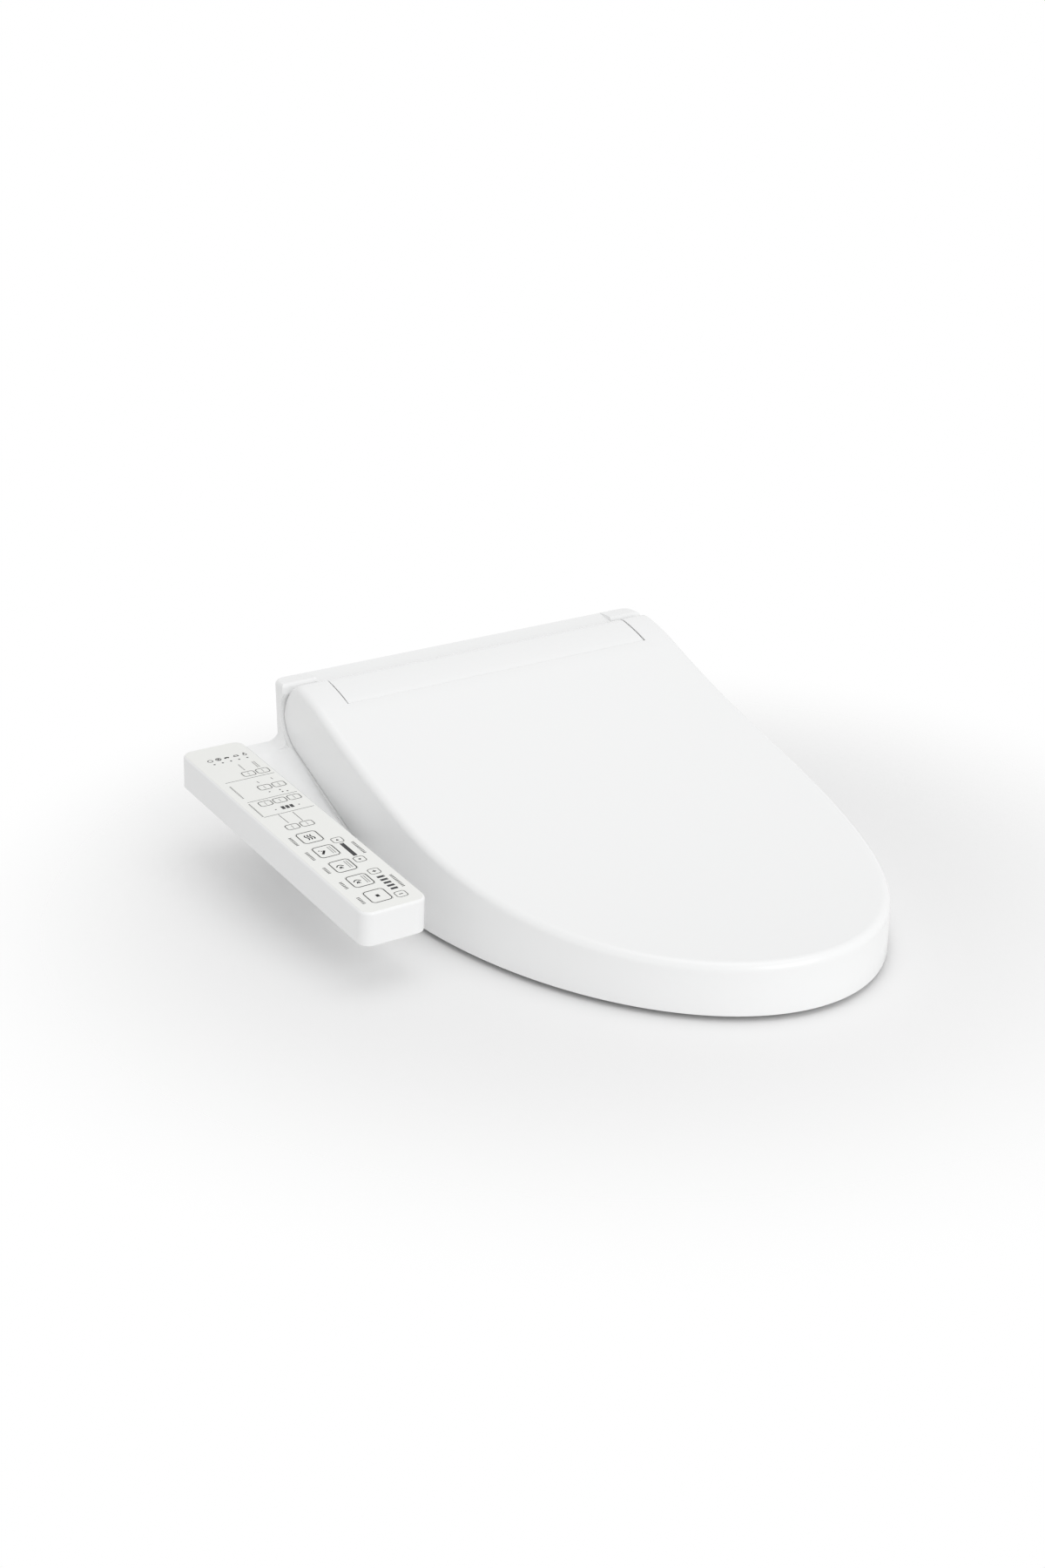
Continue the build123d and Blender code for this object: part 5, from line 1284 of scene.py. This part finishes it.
@dataclass
class ControlPanel:
    """Housing, ivory sheet, keys and the print on them."""

    half_width: float = 25.9
    span: Point2 = (-305.9, 9.4)
    sheet_corner: float = 6.9
    sheet_spread: float = 1.6
    sheet_lift: float = 0.06
    sheet_edge: float = 0.1
    rim_slack: float = 0.06
    key_edge: float = 0.12
    print_sink: float = -0.02
    large: KeyKind = KeyKind((18.0, 19.0), 3.4, 0.75, Ink.DARK)
    small: KeyKind = KeyKind((11.5, 9.0), 2.4, 0.6, Ink.PALE)
    adjust: KeyKind = KeyKind((9.5, 9.0), 2.4, 0.5, Ink.PALE)
    large_u: float = -4.5
    large_v: float = -178.0
    large_pitch: float = 27.3
    large_keys: tuple[tuple[str, Sign], ...] = (
        ("dryer", Sign.WAVES),
        ("front_wash", Sign.JET),
        ("soft_wash", Sign.SPRAY),
        ("rear_wash", Sign.SPRAY),
        ("stop", Sign.SQUARE),
    )
    columns: tuple[float, ...] = (-8.0, 5.3, 18.6)
    small_rows: tuple[tuple[float, tuple[str | None, ...]], ...] = (
        (-51.0, (None, "deodoriser", "energy_saver")),
        (-80.5, (None, "memory_one", "memory_two")),
        (-107.8, ("water_heat", "seat_heat", "air_heat")),
        (-155.3, ("oscillate", "pulse")),
    )
    adjust_u: float = 12.7
    adjust_keys: tuple[tuple[str, float, Sign], ...] = (
        ("position_back", -192.6, Sign.ARROW_BACK),
        ("position_forward", -229.2, Sign.ARROW_FRONT),
        ("pressure_up", -252.0, Sign.PLUS),
        ("pressure_down", -293.3, Sign.MINUS),
    )
    prints: tuple[SheetPrint, ...] = (
        SheetPrint(
            "panel_print_fine",
            Ink.PALE,
            bars=(
                (2.3, -59.3, 46.0, 0.5),
                (2.3, -100.0, 46.0, 0.5),
                (2.3, -130.1, 46.0, 0.5),
                (-8.0, -139.6, 0.55, 17.0, 2.0),
                (4.4, -140.8, 0.55, 17.8),
                (4.6, -69.6, 0.6, 3.4, 10.0),
                (18.3, -68.2, 0.6, 3.4, 10.0),
            ),
            words=(
                (-20.2, -66.4, -92.0, 15, 1.5),
                (-20.9, -102.7, -128.9, 15, 1.5),
                (5.3, -31.0, -43.6, 8, 1.2),
                (18.0, -31.4, -43.6, 8, 1.1),
                (19.8, -31.4, -43.6, 8, 1.1),
            ),
            dots=(
                (4.9, -90.3, 0.8),
                (14.4, -90.6, 0.8),
                (14.7, -94.9, 0.8),
                (19.0, -95.4, 0.8),
                (-5.9, -122.1, 0.7),
                (15.7, -122.1, 0.7),
            ),
        ),
        SheetPrint(
            "panel_print_words",
            Ink.DARK,
            words=(
                (-19.7, -171.6, -187.0, 8, 2.7),
                (-19.7, -199.5, -214.8, 8, 2.7),
                (-19.7, -228.5, -239.6, 6, 2.7),
                (-19.7, -255.1, -267.6, 6, 2.7),
                (-19.7, -282.5, -294.1, 6, 2.7),
                (21.6, -200.7, -222.5, 11, 2.7),
                (20.8, -262.6, -284.4, 11, 2.7),
            ),
        ),
        SheetPrint(
            "panel_print_frames",
            Ink.BLACK,
            frames=(
                (1.2, -121.5, (2.9, 5.4), 0.3, 0.35),
                (5.2, -121.5, (2.9, 5.4), 0.3, 0.35),
                (9.2, -121.5, (2.9, 5.4), 0.3, 0.35),
                (12.7, -210.9, (3.6, 23.6), 0.3, 0.55),
                (12.7, -262.3, (6.8, 2.8), 0.3, 0.4),
                (12.7, -267.5, (6.65, 2.8), 0.3, 0.4),
                (12.7, -272.7, (6.5, 2.8), 0.3, 0.4),
                (12.7, -277.9, (6.35, 2.8), 0.3, 0.4),
                (12.7, -283.1, (6.2, 2.8), 0.3, 0.4),
            ),
        ),
        SheetPrint(
            "panel_print_icons",
            Ink.DARK,
            bars=(
                (-5.2, -14.3, 0.9, 4.0, 35.0),
                (-5.2, -14.3, 0.9, 4.0, -35.0),
                (11.3, -15.7, 4.6, 0.9),
            ),
            dots=((19.4, -12.7, 1.4, 3),),
            rings=(
                (-13.0, -14.6, 2.5, 0.7),
                (-5.2, -14.3, 2.7, 0.75),
                (19.4, -15.6, 1.9, 0.7),
            ),
            strokes=(
                (((0.6, -15.6), (1.6, -14.2), (2.9, -14.0), (4.6, -15.2)), 2.0),
                (((9.0, -15.4), (10.4, -13.2), (12.6, -13.4), (13.6, -15.6)), 0.9),
            ),
        ),
    )
    signs: KeySigns = KeySigns()
    rims: dict[KeyKind, tuple[KeySpot, bpy.types.Object]] = field(default_factory=dict)
    plane: PanelPlane = PanelPlane()
    forms: tuple[CarriedForm, ...] = (
        CarriedForm("panel_case", "main_unit", "case_white", 0.35),
        CarriedForm("panel_bottom", "main_unit", "case_white", 0.4),
    )

    def keys(self) -> list[KeySpot]:
        """List the keys: the large ones, the small ones, then those that adjust.

        Returns:
            Every key of the panel.
        """
        spots = []
        for n, (name, sign) in enumerate(self.large_keys):
            v = self.large_v - self.large_pitch * n
            spots.append(KeySpot(f"key_{name}", self.large_u, v, self.large, sign))
        for v, names in self.small_rows:
            for u, name in zip(self.columns, names):
                if name is not None:
                    spots.append(KeySpot(f"key_{name}", u, v, self.small, Sign.TICKS))
        for name, v, sign in self.adjust_keys:
            spots.append(KeySpot(f"key_{name}", self.adjust_u, v, self.adjust, sign))
        return spots

    def build(self) -> None:
        """Build the housing, the sheet, the keys and every mark."""
        for form in self.forms:
            form.build()
        self.build_sheet()
        for spot in self.keys():
            CarriedForm(spot.node, f"{spot.node}_body", "key_film", self.key_edge).build()
            self.print_key(spot)
        for _, pattern in self.rims.values():
            bpy.data.objects.remove(pattern)
        for sheet_print in self.prints:
            sheet_print.build(self.sheet_lift + self.print_sink)

    def build_sheet(self) -> bpy.types.Object:
        """Spread the sheet's outer edge over the housing's rim, as a bonded film lies.

        Returns:
            The sheet.
        """
        sheet = Bench.carried_copy("panel_sheet", "panel_face")
        flat = self.plane.matrix(0.0).inverted()
        sheet.data.transform(flat)
        mid = (self.span[0] + self.span[1]) / 2
        inner_u = self.half_width - self.sheet_corner
        inner_v = (self.span[1] - self.span[0]) / 2 - self.sheet_corner
        for vertex in sheet.data.vertices:
            u, v = vertex.co.x / MM, vertex.co.y / MM - mid
            core = Vector((max(-inner_u, min(inner_u, u)), max(-inner_v, min(inner_v, v))))
            out = Vector((u, v)) - core
            if out.length > self.sheet_corner - self.rim_slack:
                out = out.normalized() * (self.sheet_corner + self.sheet_spread)
                vertex.co.x = (core.x + out.x) * MM
                vertex.co.y = (core.y + out.y + mid) * MM
            vertex.co.z += self.sheet_lift * MM
        sheet.data.transform(flat.inverted())
        Bench.soften(sheet, self.sheet_edge)
        Bench.finish(sheet)
        Bench.even(sheet)
        Bench.dress(sheet, PANEL_FILM, "main_unit", "panel_film")
        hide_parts("panel_sheet")
        return sheet

    def print_key(self, spot: KeySpot) -> None:
        """Print a key's outline and its own mark.

        Args:
            spot: The key.
        """
        body = f"{spot.node}_body"
        rim = PanelPrint(f"{spot.node}_rim", spot.kind.ink, body, self.print_sink)
        kind = spot.kind
        if kind in self.rims:
            first, pattern = self.rims[kind]
            shift = Matrix.Translation(Vector((spot.u - first.u, spot.v - first.v, 0.0)) * MM)
            rim.marks.append(Bench.copy(pattern, "rim", shift))
        else:
            rim.outline(spot.u, spot.v, kind.size, kind.corner, kind.line)
            self.rims[kind] = (spot, Bench.copy(rim.marks[0], "rim_pattern", Matrix()))
        rim.lay()
        ink = Ink.DARK if spot.sign is Sign.TICKS else Ink.BLACK
        sign = PanelPrint(f"{spot.node}_sign", ink, body, self.print_sink)
        self.signs.draw(sign, spot)
        sign.lay()


@dataclass(frozen=True)
class Camera:
    """The photograph's viewpoint."""

    place: Point3 = (-0.9835, -1.5295, 0.7568)
    azimuth: float = -33.58
    elevation: float = 21.94
    lens: float = 48.70
    sensor: float = 36.0
    clip: Point2 = (0.05, 200.0)

    def build(self) -> None:
        """Create the camera and make it the scene's."""
        data = bpy.data.cameras.new("photo_view")
        data.lens = self.lens
        data.sensor_width = self.sensor
        data.clip_start, data.clip_end = self.clip
        camera = bpy.data.objects.new("photo_view", data)
        bpy.context.scene.collection.objects.link(camera)
        turn = math.radians(self.azimuth)
        lift = math.radians(self.elevation)
        level = math.cos(lift)
        back = Vector((math.sin(turn) * level, -math.cos(turn) * level, math.sin(lift)))
        camera.location = self.place
        camera.rotation_mode = "QUATERNION"
        camera.rotation_quaternion = (-back).to_track_quat("-Z", "Y")
        bpy.context.scene.camera = camera


@dataclass(frozen=True)
class Lamp:
    """One soft square lamp: where it hangs and its width in metres, its power in watts."""

    name: str
    place: Point3
    size: float
    power: float


@dataclass
class Studio:
    """Pale floor that fades out, soft lamps and an even sky."""

    floor_z: float = -0.002
    floor_reach: float = 1.2
    fade: Point2 = (0.26, 0.6)
    floor_corners: int = 96
    floor_paint: Point3 = (0.93, 0.93, 0.93)
    floor_roughness: float = 0.9
    floor_shine: float = 0.1
    sky: float = 0.66
    aim: Point3 = (0.0, -0.2, 0.05)
    lamps: tuple[Lamp, ...] = (
        Lamp("top_lamp", (0.2, -0.5, 2.8), 2.2, 13.0),
        Lamp("front_lamp", (0.15, -2.8, 1.2), 1.8, 21.0),
        Lamp("side_lamp", (-2.6, -0.9, 0.9), 1.8, 2.6),
    )

    def build(self) -> None:
        """Lay the floor and set the lights."""
        self.build_floor()
        self.build_sky()
        for lamp in self.lamps:
            self.build_lamp(lamp)
        bpy.context.scene.view_settings.view_transform = "Standard"

    def build_floor(self) -> None:
        """Lay a round pale floor that keeps the object's shadow and fades into the sky."""
        Bench.clear()
        bpy.ops.mesh.primitive_circle_add(
            vertices=self.floor_corners, radius=self.floor_reach, fill_type="NGON"
        )
        floor = bpy.context.object
        floor.name = "floor"
        for vertex in floor.data.vertices:
            vertex.co += Vector((self.aim[0], self.aim[1], self.floor_z))
        paint = bpy.data.materials.new("floor_pale")
        paint.use_nodes = True
        nodes = paint.node_tree.nodes
        links = paint.node_tree.links
        shader = nodes["Principled BSDF"]
        shader.inputs["Base Color"].default_value = (*self.floor_paint, 1.0)
        shader.inputs["Roughness"].default_value = self.floor_roughness
        shader.inputs["Specular IOR Level"].default_value = self.floor_shine
        place = nodes.new("ShaderNodeTexCoord")
        far = nodes.new("ShaderNodeVectorMath")
        far.operation = "DISTANCE"
        far.inputs[1].default_value = (self.aim[0], self.aim[1], self.floor_z)
        fall = nodes.new("ShaderNodeMapRange")
        fall.interpolation_type = "SMOOTHSTEP"
        fall.inputs["From Min"].default_value = self.fade[0]
        fall.inputs["From Max"].default_value = self.fade[1]
        fall.inputs["To Min"].default_value = 1.0
        fall.inputs["To Max"].default_value = 0.0
        links.new(place.outputs["Object"], far.inputs[0])
        links.new(far.outputs["Value"], fall.inputs["Value"])
        links.new(fall.outputs["Result"], shader.inputs["Alpha"])
        floor.data.materials.append(paint)

    def build_sky(self) -> None:
        """White sky to the camera and in reflections, softer as a light."""
        world = bpy.data.worlds.new("studio_sky")
        bpy.context.scene.world = world
        world.use_nodes = True
        nodes = world.node_tree.nodes
        links = world.node_tree.links
        back = nodes["Background"]
        back.inputs["Color"].default_value = (1.0, 1.0, 1.0, 1.0)
        path = nodes.new("ShaderNodeLightPath")
        direct = math_node(nodes, "MAXIMUM")
        seen = math_node(nodes, "MAXIMUM")
        level = math_node(nodes, "MULTIPLY_ADD")
        level.inputs[1].default_value = 1.0 - self.sky
        level.inputs[2].default_value = self.sky
        links.new(path.outputs["Is Camera Ray"], direct.inputs[0])
        links.new(path.outputs["Is Glossy Ray"], direct.inputs[1])
        links.new(direct.outputs[0], seen.inputs[0])
        links.new(path.outputs["Is Transmission Ray"], seen.inputs[1])
        links.new(seen.outputs[0], level.inputs[0])
        links.new(level.outputs[0], back.inputs["Strength"])

    def build_lamp(self, lamp: Lamp) -> None:
        """Hang one lamp that faces the seat.

        Args:
            lamp: The lamp.
        """
        data = bpy.data.lights.new(lamp.name, "AREA")
        data.energy = lamp.power
        data.size = lamp.size
        hung = bpy.data.objects.new(lamp.name, data)
        bpy.context.scene.collection.objects.link(hung)
        hung.location = lamp.place
        hung.rotation_mode = "QUATERNION"
        beam = Vector(self.aim) - Vector(lamp.place)
        hung.rotation_quaternion = beam.to_track_quat("-Z", "Y")


def dress_nodes(frame: dict) -> None:
    """Give every carried CAD node the finish of its slot in the record.
    """
    for row in frame["record"]["subparts"]:
        node = frame["nodes"][row["node"]]
        node.data.materials.clear()
        node.data.materials.append(SLOT_FINISH[row["material_slot"]].material())


def main() -> None:
    """Load the frame, build each sub-assembly in order and set the stage."""
    logging.basicConfig(level=logging.INFO, format="%(name)s: %(message)s")
    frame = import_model()
    dress_nodes(frame)
    Camera().build()
    Studio().build()
    Lid().build()
    SeatRing().build()
    Casing().build()
    ControlPanel().build()
    Bench.clear()


if __name__ == "__main__":
    main()
